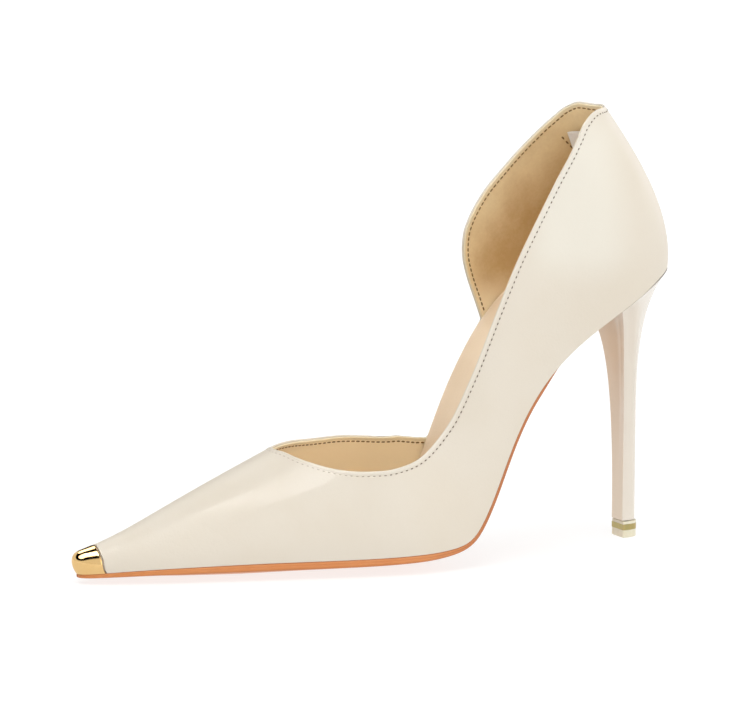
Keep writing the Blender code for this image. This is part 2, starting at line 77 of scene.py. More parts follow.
# Sections of the last from toe to heel: along, lateral, medial, bottom, arch, crown_along and crown.
# The first and the sixth are in percent of the length, lateral and medial of the ball width, bottom
# and arch of the seat height, and crown of the cone height.
SECTIONS: Rows = (
    (0.8, 0.0, 0.0, 3.5, 0.0, 0.25, 4.9),
    (1.4, 3.9, 3.9, 3.6, 0.0, 0.6, 5.35),
    (3.2, 7.9, 7.9, 3.9, 0.0, 2.0, 6.0),
    (7.7, 14.6, 14.4, 4.7, 0.0, 6.6, 7.75),
    (17.1, 25.0, 25.0, 5.7, 0.0, 15.2, 12.1),
    (29.1, 36.0, 37.5, 6.3, 0.0, 26.3, 17.9),
    (41.0, 46.3, 49.3, 6.5, 0.0, 37.2, 23.5),
    (50.4, 51.5, 47.8, 7.0, 0.0, 45.3, 29.0),
    (56.0, 50.4, 41.9, 7.9, 0.0, 49.4, 33.5),
    (59.4, 48.8, 37.5, 10.3, 0.2, 51.7, 37.5),
    (62.0, 47.1, 35.6, 17.2, 0.5, 53.4, 41.5),
    (65.4, 44.6, 34.6, 32.8, 1.6, 55.8, 48.0),
    (70.1, 41.2, 34.6, 53.4, 5.6, 59.0, 57.5),
    (75.6, 39.0, 36.0, 68.7, 8.0, 62.8, 69.0),
    (82.1, 38.2, 36.8, 80.4, 5.8, 67.2, 80.0),
    (89.1, 36.4, 35.2, 90.1, 2.0, 72.0, 89.0),
    (94.9, 27.6, 27.0, 96.8, 0.4, 75.2, 95.0),
    (98.4, 15.2, 14.9, 99.6, 0.0, 76.6, 98.5),
    (100.0, 0.0, 0.0, 100.0, 0.0, 77.1, 100.0),
)

# Wall shape from the feather line to the crown: its swell in millimetres, and the pull of the curve at
# its foot (lean, rise) and at the crown (spread, drop).
SHAPE_COLUMNS = ("along", "swell", "lean", "rise", "spread", "drop")
SHAPES: Rows = (
    (0.8, 2.7, 0.00, 0.60, 0.70, 0.00),
    (3.2, 1.9, 0.00, 0.58, 0.62, 0.00),
    (7.7, 0.9, 0.00, 0.52, 0.50, 0.00),
    (41.0, 2.0, 0.00, 0.45, 0.50, 0.00),
    (62.0, 1.5, 0.00, 0.42, 0.62, 0.03),
    (75.6, 2.0, 0.00, 0.40, 0.72, 0.06),
    (94.9, 3.8, 0.04, 0.36, 0.52, 0.22),
    (100.0, 6.0, 0.06, 0.33, 0.34, 0.33),
)

# Edge of the upper: share of the wall that is left, by the place on the feather line.
EDGE_COLUMNS = ("along", "share")
LATERAL_EDGE: Rows = (
    (36.2, 1.000),
    (36.25, 0.960),
    (36.6, 0.905),
    (37.8, 0.764),
    (39.9, 0.644),
    (42.2, 0.561),
    (44.6, 0.506),
    (47.3, 0.466),
    (50.5, 0.436),
    (54.0, 0.427),
    (60.8, 0.446),
    (66.0, 0.442),
    (72.2, 0.429),
    (77.0, 0.437),
    (81.8, 0.459),
    (87.7, 0.526),
    (90.4, 0.570),
    (92.6, 0.603),
    (94.6, 0.613),
    (96.6, 0.609),
    (98.4, 0.605),
    (100.0, 0.602),
)
MEDIAL_EDGE: Rows = (
    (36.2, 1.000),
    (36.25, 0.960),
    (36.6, 0.910),
    (37.4, 0.840),
    (39.4, 0.759),
    (41.3, 0.701),
    (46.3, 0.574),
    (52.5, 0.474),
    (56.3, 0.403),
    (60.7, 0.301),
    (62.5, 0.221),
    (64.0, 0.135),
    (65.0, 0.078),
    (66.5, 0.062),
    (74.6, 0.075),
    (74.9, 0.160),
    (75.1, 0.270),
    (75.4, 0.345),
    (76.0, 0.397),
    (77.0, 0.437),
    (80.2, 0.471),
    (85.2, 0.495),
    (90.4, 0.538),
    (92.0, 0.555),
    (94.0, 0.576),
    (96.1, 0.600),
    (98.0, 0.616),
    (98.9, 0.612),
    (100.0, 0.602),
)

# Thickness of the sole and the insole, in millimetres, and sag of the bottom across its middle.
LAYER_COLUMNS = ("along", "sole", "insole", "sag")
LAYERS: Rows = (
    (0.0, 1.2, 0.8, 0.0),
    (7.7, 1.6, 1.0, 1.2),
    (17.1, 2.1, 1.6, 3.4),
    (29.1, 2.4, 2.2, 5.0),
    (41.0, 2.4, 2.4, 5.4),
    (50.4, 2.3, 2.6, 5.4),
    (56.0, 1.9, 3.4, 4.2),
    (62.0, 1.2, 4.6, 1.6),
    (70.1, 1.0, 5.4, 1.0),
    (82.1, 1.0, 5.4, 0.8),
    (100.0, 1.0, 4.4, 0.6),
)

# Cup of the insole sock: how far its border rises over its middle, in millimetres.
CUP_COLUMNS = ("along", "cup")
CUP: Rows = (
    (54.0, 0.0),
    (62.0, 1.0),
    (70.0, 1.3),
    (75.0, 2.2),
    (80.0, 4.0),
    (90.0, 4.0),
    (100.0, 3.0),
)

# Flare of the heel under its seat, from the breast (0) round to the back (1): the angle in degrees from
# straight down, and the pull of the curve at the seat and at the stem in millimetres.
FLARE_COLUMNS = ("round", "angle", "seat_pull", "stem_pull")
HEEL_FLARE: Rows = (
    (0.0, 102.0, 22.5, 83.0),
    (0.35, 72.0, 18.0, 76.0),
    (1.0, 26.0, 26.0, 62.0),
)


class Side(Enum):
    """Side of the foot."""

    OUTER = "outer"
    INNER = "inner"


def unit(vectors: Array) -> Array:
    """Vectors divided by their lengths."""
    return vectors / np.maximum(np.linalg.norm(vectors, axis=-1, keepdims=True), TINY)


def smooth(part: Array) -> Array:
    """Smooth step of a part from 0 to 1: three times its square less twice its cube."""
    part = np.clip(part, 0.0, 1.0)
    return part**2 * (3 - 2 * part)


def hermite(
    start: Array, end: Array, start_slope: Array, end_slope: Array, span: Array, part: Array
) -> Array:
    """Cubic between two values that leaves and arrives at given slopes.

    Args:
        start: Values at the start of the span.
        end: Values at its end.
        start_slope: Slopes at the start.
        end_slope: Slopes at the end.
        span: Length of the span.
        part: Place in the span, 0 to 1.

    Returns:
        The values at that place.
    """
    part2, part3 = part**2, part**3
    return (
        start * (2 * part3 - 3 * part2 + 1)
        + start_slope * span * (part3 - 2 * part2 + part)
        + end * (3 * part2 - 2 * part3)
        + end_slope * span * (part3 - part2)
    )


def bezier(first: Array, second: Array, third: Array, fourth: Array, part: Array) -> Array:
    """Cubic Bezier curve: the four points weighted by the terms of ((1 - part) + part) cubed.

    Args:
        first: Start point.
        second: Point that the start pulls towards.
        third: Point that the end is pulled from.
        fourth: End point.
        part: Place on the curve, 0 to 1.

    Returns:
        Points on the curve.
    """
    rest = 1 - part
    near = rest**3 * first + 3 * rest**2 * part * second
    far = 3 * rest * part**2 * third + part**3 * fourth
    return near + far


class ClosedCurve:
    """Closed cubic spline through rows of numbers, with even bending all the way round."""

    def __init__(self, knots: Array, rows: Array, period: float) -> None:
        """Finds the slope at each knot.

        Args:
            knots: Place of each row, rising.
            rows: Values at the knots.
            period: Place at which the curve is back at its first row.
        """
        self.knots, self.rows, self.period = knots, rows, period
        self.spans = np.diff(np.append(knots, knots[0] + period))
        rises = (np.roll(rows, -1, axis=0) - rows) / self.spans[:, None]
        before, after = np.roll(self.spans, 1), self.spans
        ring = np.eye(len(knots))
        system = (
            ring * 2 * (before + after)[:, None]
            + np.roll(ring, -1, axis=1) * after[:, None]
            + np.roll(ring, 1, axis=1) * before[:, None]
        )
        target = 3 * (after[:, None] * np.roll(rises, 1, axis=0) + before[:, None] * rises)
        self.slopes = np.linalg.solve(system, target)

    def at(self, way: Array) -> Array:
        """Values at places on the curve.

        Args:
            way: Places, taken round the period.

        Returns:
            One row of values for each place.
        """
        way = np.mod(np.asarray(way, float) - self.knots[0], self.period) + self.knots[0]
        i = np.clip(np.searchsorted(self.knots, way, side="right") - 1, 0, len(self.knots) - 1)
        j = (i + 1) % len(self.knots)
        span = self.spans[i][..., None]
        part = (way - self.knots[i])[..., None] / span
        return hermite(self.rows[i], self.rows[j], self.slopes[i], self.slopes[j], span, part)


class SteadyTable:
    """Table of columns over its first one, joined by cubics that never overshoot a row."""

    def __init__(self, rows: Rows, names: tuple[str, ...]) -> None:
        """Finds the slope at each row: the weighted harmonic mean of the rises beside it.

        Args:
            rows: The table, with a rising first column.
            names: Name of each column.
        """
        values = np.array(rows, float)
        self.names = names[1:]
        self.knots, self.rows = values[:, 0], values[:, 1:]
        spans = np.diff(self.knots)
        rises = np.diff(self.rows, axis=0) / spans[:, None]
        before, after = rises[:-1], rises[1:]
        near = (2 * spans[1:] + spans[:-1])[:, None]
        far = (spans[1:] + 2 * spans[:-1])[:, None]
        same_way = before * after > 0
        safe = np.where(same_way, near * after + far * before, 1.0)
        self.slopes = np.zeros_like(self.rows)
        self.slopes[1:-1] = np.where(same_way, (near + far) * before * after / safe, 0.0)

    def at(self, place: Array) -> dict[str, Array]:
        """Values of every column.

        Args:
            place: Places in the first column.

        Returns:
            One array for each column, with a last axis of one.
        """
        place = np.clip(np.asarray(place, float), self.knots[0], self.knots[-1])
        i = np.clip(np.searchsorted(self.knots, place, side="right") - 1, 0, len(self.knots) - 2)
        span = (self.knots[i + 1] - self.knots[i])[..., None]
        part = (place - self.knots[i])[..., None] / span
        values = hermite(self.rows[i], self.rows[i + 1], self.slopes[i], self.slopes[i + 1], span, part)
        return {name: values[..., k : k + 1] for k, name in enumerate(self.names)}


@dataclass
class Last:
    """The form the shoe is made on.

    A way of 0 to 1 runs along the outer feather line from the toe tip to the back of the heel, and 1 to
    2 runs back along the inner one. A share of 0 is the feather line, where the upper meets the sole,
    and 1 is the crown, the line over the middle of the foot.
    """

    length: float = 234 * MM
    ball_width: float = 68 * MM
    seat_height: float = 100.8 * MM
    cone_height: float = 200 * MM
    floor_power: float = 1.25
    blend_start: float = 0.35
    blend_length: float = 0.25
    rim_shift: float = 0.0046
    rim_share: float = 0.4
    rim_ways: tuple[float, float, float] = (0.030, 0.050, 0.120)
    step: float = 1e-4
    end_margin: float = 1e-3
    crown_margin: float = 0.01
    path_steps: int = 2000

    def __post_init__(self) -> None:
        """Threads a closed curve through the sections, outer side out and inner side back."""
        scale = np.array(
            [self.length, self.ball_width, self.ball_width, self.seat_height, self.seat_height]
            + [self.length, self.cone_height]
        )
        along, lateral, medial, bottom, arch, crown_along, crown = (np.array(SECTIONS) / 100 * scale).T
        steps = np.hypot(np.hypot(np.diff(along), np.diff(lateral + medial) / 2), np.diff(bottom))
        path = np.concatenate([[0.0], np.cumsum(steps)]) / steps.sum()
        outer = np.stack([along, -lateral, bottom, crown_along, crown], axis=1)
        inner = np.stack([along, medial, bottom + arch, crown_along, crown], axis=1)
        knots = np.concatenate([path, 2 - path[-2:0:-1]])
        self.ring = ClosedCurve(knots, np.concatenate([outer, inner[-2:0:-1]]), 2.0)
        self.shape = SteadyTable(SHAPES, SHAPE_COLUMNS)
        self.layers = SteadyTable(LAYERS, LAYER_COLUMNS)

    def percent_at(self, way: Array) -> Array:
        """Percentage of the length at a way on either side."""
        return self.ring.at(way)[..., 0] / self.length * 100

    def path_at(self, percent: float) -> float:
        """Way along the outer side for a percentage of the length."""
        ways = np.linspace(0, 1, self.path_steps + 1)
        return float(np.interp(percent, self.percent_at(ways), ways))

    def feather(self, way: Array) -> Array:
        """Points on the feather line."""
        return self.ring.at(way)[..., :3]

    def outward(self, way: Array) -> Array:
        """Level direction out of the feather line: its run turned by a right angle."""
        run = self.feather(np.asarray(way) + self.step) - self.feather(np.asarray(way) - self.step)
        return unit(np.stack([run[..., 1], -run[..., 0], np.zeros_like(run[..., 0])], axis=-1))

    def curved_back(self, way: Array, share: Array) -> Array:
        """Ways of points on the wall: near the toe, lines up the wall curve back towards the heel.

        The shift is its greatest value times a smooth rise up the wall, times a smooth rise and fall
        along the shoe.

        Args:
            way: Places round the feather line.
            share: Places up the wall.

        Returns:
            The shifted ways.
        """
        turned = np.mod(way, 2.0)
        path = 1 - np.abs(1 - turned)
        full, less, none = self.rim_ways
        amount = smooth(path / full) * (1 - smooth((path - less) / (none - less)))
        towards_heel = np.where(turned <= 1, 1.0, -1.0)
        return way + towards_heel * self.rim_shift * amount * smooth(share / self.rim_share)

    def surface(self, way: Array, share: Array) -> Array:
        """Outer face of the upper: a cubic Bezier curve from the feather line up to the crown.

        Args:
            way: Places round the feather line.
            share: Places up the wall.

        Returns:
            Points, in metres from the toe tip.
        """
        way, share = np.broadcast_arrays(np.asarray(way, float), np.asarray(share, float))
        way = self.curved_back(way, share)
        row = self.ring.at(way)
        foot = row[..., :3]
        level = np.zeros_like(row[..., 0])
        crown = np.stack([row[..., 3], level, row[..., 4]], axis=-1)
        out = self.outward(way)
        path = np.where(way <= 1, way, 2 - way)
        shape = self.shape.at(self.percent_at(path))
        rise = crown - foot
        reach = -(rise * out).sum(axis=-1, keepdims=True)
        upright = rise + out * reach
        across = np.stack([level, foot[..., 1], level], axis=-1)
        heelward = smooth((path[..., None] - self.blend_start) / self.blend_length)
        spread = across + (out * reach - across) * heelward
        low = foot + out * (shape["swell"] * MM - shape["lean"] * reach) + upright * shape["rise"]
        high = crown + spread * shape["spread"] - upright * shape["drop"]
        return bezier(foot, low, high, crown, share[..., None])

    def normal(self, way: Array, share: Array) -> Array:
        """Direction out of the outer face: the cross product of its runs along and up.

        Args:
            way: Places round the feather line.
            share: Places up the wall.

        Returns:
            Unit vectors.
        """
        way, share = np.broadcast_arrays(np.asarray(way, float), np.asarray(share, float))
        at_end = np.abs(way - np.round(way)) < self.step
        below = np.where(at_end, np.minimum(share, 1 - self.crown_margin), share)
        along = self.surface(way + self.step, below) - self.surface(way - self.step, below)
        upward = self.surface(way, share + self.step) - self.surface(way, share - self.step)
        return unit(np.cross(along, upward))

    def inside(self, way: Array, share: Array, depth: Array | float) -> Array:
        """Points at a depth under the outer face."""
        return self.surface(way, share) - self.normal(way, share) * depth

    def bottom_square(self, way: Array) -> Array:
        """Upward direction square to the bottom, in the upright plane along the shoe.

        Args:
            way: Places along the outer side.

        Returns:
            Unit vectors.
        """
        way = np.clip(way, self.end_margin, 1 - self.end_margin)
        ahead, behind = way + self.step, way - self.step
        run = self.feather(ahead) - self.feather(behind)
        run = run + self.feather(2 - ahead) - self.feather(2 - behind)
        return unit(np.stack([-run[..., 2], np.zeros_like(run[..., 0]), run[..., 0]], axis=-1))

    def bottom(self, ways: Array, inset: Array, across: Array, depth: Array) -> Array:
        """Grid over the bottom of the last.

        Each point lies between the two feather lines drawn in by its inset, less the sag of the bottom
        there and less its depth along the square of the bottom.

        Args:
            ways: Places along the shoe, one for each row.
            inset: Distance in from the feather line, by column or by row and column.
            across: 0 at the outer and 1 at the inner line, one for each column.
            depth: Depth below the bottom, one for each row and column.

        Returns:
            Points in rows and columns.
        """
        inset, across = np.atleast_2d(inset), np.atleast_2d(across)
        outer = self.feather(ways)[:, None] - self.outward(ways)[:, None] * inset[..., None]
        inner = self.feather(2 - ways)[:, None] - self.outward(2 - ways)[:, None] * inset[..., None]
        width = np.linalg.norm(self.feather(ways) - self.feather(2 - ways), axis=-1)[:, None]
        margin = np.clip(inset / np.maximum(width, self.step * MM), -0.5, 0.5)
        place = margin + across * (1 - 2 * margin)
        sag = self.layers.at(self.percent_at(ways))["sag"] * MM
        drop = sag * (1 - np.clip(np.abs(2 * place - 1), 0, 1) ** self.floor_power) + depth
        flat = outer + (inner - outer) * across[..., None]
        return flat - self.bottom_square(ways)[:, None] * drop[..., None]

    def thickness(self, ways: Array, layer: str) -> Array:
        """Thickness of a layer of the bottom, in metres, as a column."""
        return self.layers.at(self.percent_at(ways))[layer] * MM


class Shell:
    """Gathers grids of points and the faces between them into one mesh with closed seams."""

    WELD = 2e-6
    origin: Array = np.zeros(3)

    def __init__(self) -> None:
        """Starts with nothing in it."""
        self.points: list[Array] = []
        self.marks: list[Array] = []
        self.faces: list[Array] = []
        self.count = 0

    def add(self, grid: Array, marks: Array | None = None) -> Array:
        """Adds a grid of points.

        Args:
            grid: Points in the shoe's own coordinates.
            marks: Two numbers for each point, kept as its UV map.

        Returns:
            The points' numbers, in the layout of the grid.
        """
        layout = grid.shape[:-1]
        flat = grid.reshape(-1, 3)
        numbers = np.arange(self.count, self.count + len(flat)).reshape(layout)
        self.count += len(flat)
        self.points.append(flat + self.origin)
        given = np.zeros(2) if marks is None else marks
        self.marks.append(np.broadcast_to(given, (*layout, 2)).reshape(-1, 2))
        return numbers

    def cover(self, numbers: Array) -> None:
        """Adds a four-sided face for each cell of a grid of numbers, or of a pile of such grids."""
        near, far = numbers[..., :-1, :], numbers[..., 1:, :]
        corners = (near[..., :-1], far[..., :-1], far[..., 1:], near[..., 1:])
        self.faces.append(np.stack(corners, axis=-1).reshape(-1, 4))

    def wrap(self, rings: Array) -> None:
        """Adds the faces between closed rings of numbers, one ring in each row."""
        self.cover(np.concatenate([rings, rings[:, :1]], axis=1))

    def bridge(self, one_line: Array, other_line: Array) -> None:
        """Adds a strip of faces between two lines of numbers."""
        self.cover(np.stack([one_line, other_line], axis=1))

    def disc(self, ring: Array, rings: int = 3) -> None:
        """Closes a ring of points by smaller copies of it down to its middle."""
        shrink = np.linspace(1, 0, rings + 1)[:, None, None]
        middle = ring.mean(axis=0)
        self.wrap(self.add(middle + (ring - middle) * shrink))

    def build(self, name: str, material: bpy.types.Material, crease: float = 40.0) -> bpy.types.Object:
        """Makes the object, with its seams welded, its poles closed and its faces pointing out.

        Args:
            name: Name of the piece.
            material: Its finish.
            crease: Angle between faces above which an edge is sharp, in degrees.

        Returns:
            The new object, at the origin.
        """
        mesh = bpy.data.meshes.new(name)
        mesh.from_pydata(np.concatenate(self.points).tolist(), [], np.concatenate(self.faces).tolist())
        layer = mesh.uv_layers.new(name="marks")
        corners = np.empty(len(mesh.loops), dtype=np.int32)
        mesh.loops.foreach_get("vertex_index", corners)
        marks = np.concatenate(self.marks)[corners]
        layer.data.foreach_set("uv", marks.astype(np.float32).ravel())
        welded = bmesh.new()
        welded.from_mesh(mesh)
        bmesh.ops.remove_doubles(welded, verts=welded.verts, dist=self.WELD)
        bmesh.ops.dissolve_degenerate(welded, edges=welded.edges, dist=self.WELD)
        bmesh.ops.recalc_face_normals(welded, faces=welded.faces)
        welded.to_mesh(mesh)
        welded.free()
        mesh.shade_smooth()
        mesh.set_sharp_from_angle(angle=np.radians(crease))
        mesh.materials.append(material)
        piece = bpy.data.objects.new(name, mesh)
        bpy.context.scene.collection.objects.link(piece)
        return piece


def settle(piece: bpy.types.Object, slot: str, *nodes: str) -> bpy.types.Object:
    """Puts a piece on the shoe's body and hides the solids that it stands for.

    Args:
        piece: The new piece.
        slot: Material slot of the record; not used.
        nodes: Solids of the frame that it replaces.

    Returns:
        The piece.
    """
    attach(piece, BODY)
    if nodes:
        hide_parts(*nodes)
    LOG.info("%s: %d faces", piece.name, len(piece.data.polygons))
    return piece


@dataclass(frozen=True)
class Cloud:
    """Cloudy pattern: the size of its lumps in metres, its layers of detail and their strength."""

    size: float
    detail: float = 3.0
    roughness: float = 0.5


@dataclass(frozen=True)
class Pores:
    """Fine pores: how far apart they are in metres, and where their slope starts and ends."""

    size: float
    slope: Range


@dataclass(frozen=True)
class Tint:
    """Second tone: its colour, the values of a pattern that it comes in over, and its part there."""

    colour: Colour
    span: Range
    part: float


class Wire:
    """A value socket that takes part in Python expressions; each operation adds one Math node."""

    def __init__(self, board: "Board", socket: bpy.types.NodeSocket) -> None:
        """Keeps the socket and the board that its node is on."""
        self.board, self.socket = board, socket

    def math(self, operation: str, *values: Any) -> "Wire":
        """Adds a Math node for an operation on these values."""
        return self.board.node("ShaderNodeMath", {"operation": operation}, dict(enumerate(values)))

    def __add__(self, other: Any) -> "Wire":
        """Sum."""
        return self.math("ADD", self, other)

    def __radd__(self, other: Any) -> "Wire":
        """Sum, from the right."""
        return self.math("ADD", other, self)

    def __sub__(self, other: Any) -> "Wire":
        """Difference."""
        return self.math("SUBTRACT", self, other)

    def __rsub__(self, other: Any) -> "Wire":
        """Difference, from the right."""
        return self.math("SUBTRACT", other, self)

    def __mul__(self, other: Any) -> "Wire":
        """Product."""
        return self.math("MULTIPLY", self, other)

    def __rmul__(self, other: Any) -> "Wire":
        """Product, from the right."""
        return self.math("MULTIPLY", other, self)

    def sine(self) -> "Wire":
        """Sine."""
        return self.math("SINE", self)

    def sway(self, part: float) -> "Wire":
        """A pattern of 0 to 1 made a part of itself that swings about 0."""
        return (self - 0.5) * part

    def rise(self, low: float, high: float) -> "Wire":
        """Smooth step from 0 at low to 1 at high."""
        values = {"Value": self, "From Min": low, "From Max": high}
        return self.board.node("ShaderNodeMapRange", {"interpolation_type": "SMOOTHSTEP"}, values)

    def fall(self, low: float, high: float) -> "Wire":
        """Smooth step from 1 at low to 0 at high."""
        return 1 - self.rise(low, high)

    def band(self, low: float, high: float, soft: float) -> "Wire":
        """1 between two values and 0 outside, over a soft margin."""
        return self.rise(low - soft, low + soft) * self.fall(high - soft, high + soft)


class Board:
    """Node tree of a material or of the world, on which nodes are put by one method."""

    MIX_FACTOR, MIX_FIRST, MIX_SECOND, MIX_COLOUR_OUT = 0, 6, 7, 2

    def __init__(self, tree: bpy.types.NodeTree) -> None:
        """Clears the tree."""
        self.tree = tree
        tree.nodes.clear()

    def node(
        self,
        kind: str,
        settings: dict[str, Any] | None = None,
        values: dict[str | int, Any] | None = None,
        out: str | int = 0,
    ) -> Wire:
        """Adds a node.

        Args:
            kind: Type of the node.
            settings: Its own settings, such as an operation, which are set first.
            values: Numbers, colours or wires for its sockets, by name or number.
            out: The output to hand back.

        Returns:
            A wire from that output, or from nothing where the node has no outputs.
        """
        made = self.tree.nodes.new(kind)
        for name, value in (settings or {}).items():
            setattr(made, name, value)
        for name, value in (values or {}).items():
            if isinstance(value, Wire):
                self.tree.links.new(value.socket, made.inputs[name])
            elif isinstance(value, tuple) and made.inputs[name].type == "RGBA":
                made.inputs[name].default_value = (*value, 1.0)
            else:
                made.inputs[name].default_value = value
        return Wire(self, made.outputs[out] if len(made.outputs) else None)

    def place(self) -> Wire:
        """Object coordinates, in metres."""
        return self.node("ShaderNodeTexCoord", out="Object")

    def parted(self, vector: Wire) -> list[Wire]:
        """The three values of a vector."""
        node = self.node("ShaderNodeSeparateXYZ", None, {0: vector}).socket.node
        return [Wire(self, output) for output in node.outputs]

    def axes(self) -> list[Wire]:
        """Object coordinates apart: along, across and up, in metres."""
        return self.parted(self.place())

    def marks(self) -> list[Wire]:
        """The two numbers that a piece keeps in its UV map."""
        return self.parted(self.node("ShaderNodeUVMap", {"uv_map": "marks"}))[:2]

    def vector(self, operation: str, *values: Any, out: str | int = 0) -> Wire:
        """Adds a Vector Math node for an operation on these values."""
        return self.node("ShaderNodeVectorMath", {"operation": operation}, dict(enumerate(values)), out)

    def noise(self, cloud: Cloud) -> Wire:
        """Cloudy pattern, about 0 to 1."""
        values = {"Scale": 1 / cloud.size, "Detail": cloud.detail, "Roughness": cloud.roughness}
        return self.node("ShaderNodeTexNoise", None, {"Vector": self.place(), **values})

    def pores(self, pores: Pores) -> Wire:
        """Pores: 0 in their middle and 1 between them."""
        values = {"Vector": self.place(), "Scale": 1 / pores.size}
        return self.node("ShaderNodeTexVoronoi", None, values).rise(*pores.slope)

    def mix(self, factor: Any, first: Any, second: Any) -> Wire:
        """Colour between two colours."""
        values = {self.MIX_FACTOR: factor, self.MIX_FIRST: first, self.MIX_SECOND: second}
        return self.node("ShaderNodeMix", {"data_type": "RGBA"}, values, self.MIX_COLOUR_OUT)

    def tinted(self, tone: Any, pattern: Wire, tint: Tint) -> Wire:
        """A tone with a second one over it where a pattern is high."""
        return self.mix(pattern.rise(*tint.span) * tint.part, tone, tint.colour)

    def bump(self, height: Wire, depth: float) -> Wire:
        """Normal tilted by a height of 0 to 1 that stands for a depth in metres."""
        return self.node("ShaderNodeBump", None, {"Height": height, "Distance": depth})


class Finish:
    """Finish of a piece: a material whose shader takes its values from the finish."""

    name: str

    def values(self, board: Board) -> dict[str, Any]:
        """Numbers, colours and wires for the sockets of the shader."""
        raise NotImplementedError

    def material(self) -> bpy.types.Material:
        """Builds the material: a Principled shader with the finish's values."""
        material = bpy.data.materials.new(self.name)
        material.use_nodes = True
        board = Board(material.node_tree)
        shader = board.node("ShaderNodeBsdfPrincipled", None, self.values(board))
        board.node("ShaderNodeOutputMaterial", None, {"Surface": shader})
        return material


@dataclass(frozen=True)
class GlossLeather(Finish):
    """Smooth finished leather: a fine grain, a soft coat and a sewn dent along its edge, with painted
    light high on the quarter towards the heel and a painted shadow along the foot of the back.
    """

    name: str = "cream_leather"
    colour: Colour = (0.668, 0.609, 0.518)
    cloud: Cloud = Cloud(26 * MM)
    warm: Tint = Tint((0.648, 0.582, 0.482), (0.35, 0.7), 0.6)
    # pale: painted light, a lighter tone high on the quarter towards the heel, standing for the
    # brighter light that falls there.
    pale: Colour = (0.715, 0.675, 0.588)
    painted_light_along: Band = (50 * MM, 86 * MM, 11 * MM)
    painted_light_above: Band = (104 * MM, 156 * MM, 9 * MM)
    shadow: Colour = (0.09, 0.07, 0.05)
    shadow_along: Range = (94 * MM, 109 * MM)
    shadow_height: Range = (0.3, 0.6)
    edge: Colour = (0.72, 0.665, 0.573)
    edge_width: Range = (0.1, 1.2)
    edge_part: float = 0.7
    pores: Pores = Pores(0.9 * MM, (0.1, 0.6))
    pore_height: float = 0.25
    creases: Cloud = Cloud(2.4 * MM, 5.0, 0.6)
    crease_height: float = 0.5
    seam: Band = (1.1, 1.9, 0.35)
    seam_dent: float = 1.6
    depth: float = 0.06 * MM
    roughness: float = 0.42
    crease_sway: float = 0.12
    seam_sway: float = 0.08

    def values(self, board: Board) -> dict[str, Any]:
        """Shader values; the marks are millimetres over the feather line and from the edge."""
        height, edge = board.marks()
        along, _, above = board.axes()
        tone = board.tinted(self.colour, board.noise(self.cloud), self.warm)
        # Painted light: the pale patch high on the quarter towards the heel.
        painted_light_patch = along.band(*self.painted_light_along) * above.band(*self.painted_light_above)
        seat = height.fall(*self.shadow_height) * along.rise(*self.shadow_along)
        tone = board.mix(seat, board.mix(painted_light_patch, tone, self.pale), self.shadow)
        folded = edge.fall(*self.edge_width) * self.edge_part
        creases = board.noise(self.creases)
        sewn = edge.band(*self.seam)
        grain = board.pores(self.pores) * self.pore_height + creases * self.crease_height
        return {
            "Base Color": board.mix(folded, tone, self.edge),
            "Roughness": self.roughness + creases.sway(self.crease_sway) + sewn * self.seam_sway,
            "Normal": board.bump(grain - sewn * self.seam_dent, self.depth),
            "Coat Weight": 0.07,
            "Coat Roughness": 0.07,
            "Specular IOR Level": 0.10,
        }


@dataclass(frozen=True)
class SoftLining(Finish):
    """Lining: smooth, with painted light in the vamp as a lighter tone, napped round the heel with
    painted shade deepening away from the edge, and a pale cut edge.
    """

    name: str = "tan_lining"
    colour: Colour = (0.93, 0.76, 0.47)
    # deep: tone of the painted shade round the heel.
    deep: Colour = (0.62, 0.41, 0.185)
    cloud: Cloud = Cloud(14 * MM, 4.0, 0.6)
    cloud_range: Range = (0.3, 0.75)
    cloud_part: float = 0.35
    nap: Cloud = Cloud(1.1 * MM, 4.0, 0.65)
    nap_part: float = 0.35
    nap_height: float = 0.7
    pores: Pores = Pores(0.55 * MM, (0.05, 0.5))
    pore_height: float = 0.3
    depth: float = 0.05 * MM
    # The two vamp tones are painted light: a lighter lining colour in the vamp that stands for the
    # light falling into the opening.
    vamp: Colour = (1.0, 0.86, 0.60)
    vamp_lit_deep: Colour = (1.0, 0.83, 0.56)
    vamp_part: float = 0.6
    heel_along: Range = (22 * MM, 30 * MM)
    heel_above: Range = (84 * MM, 100 * MM)
    # Painted shade: the lining deepens away from the edge and in a band up the heel, where less light
    # reaches inside the shoe.
    shade_from_edge: Range = (3.0, 30.0)
    shade_part: float = 0.75
    shade_above: Band = (104 * MM, 122 * MM, 14 * MM)
    shade_above_part: float = 0.20
    cut: Colour = (0.84, 0.72, 0.49)
    cut_width: Range = (0.8, 1.2)
    roughness: float = 0.62
    nap_sway: float = 0.2

    def values(self, board: Board) -> dict[str, Any]:
        """Shader values; the second mark is the distance from the edge in millimetres."""
        edge = board.marks()[1]
        along, _, above = board.axes()
        nap = board.noise(self.nap)
        cloudy = board.noise(self.cloud).rise(*self.cloud_range) * self.cloud_part
        cloudy = cloudy + nap.sway(self.nap_part)
        heelward = along.rise(*self.heel_along) * above.rise(*self.heel_above)
        # Painted light: the lighter vamp tone.
        vamp = board.mix(cloudy * self.vamp_part, self.vamp, self.vamp_lit_deep)
        # Painted shade deeper inside the shoe, over the random cloud.
        darkening = cloudy + edge.rise(*self.shade_from_edge) * self.shade_part
        darkening = darkening + above.band(*self.shade_above) * self.shade_above_part
        tone = board.mix(heelward, vamp, board.mix(darkening, self.colour, self.deep))
        relief = nap * self.nap_height + board.pores(self.pores) * self.pore_height
        return {
            "Base Color": board.mix(edge.fall(*self.cut_width), tone, self.cut),
            "Roughness": self.roughness + nap.sway(self.nap_sway),
            "Normal": board.bump(relief, self.depth),
            "Sheen Weight": 0.12,
            "Sheen Roughness": 0.4,
        }


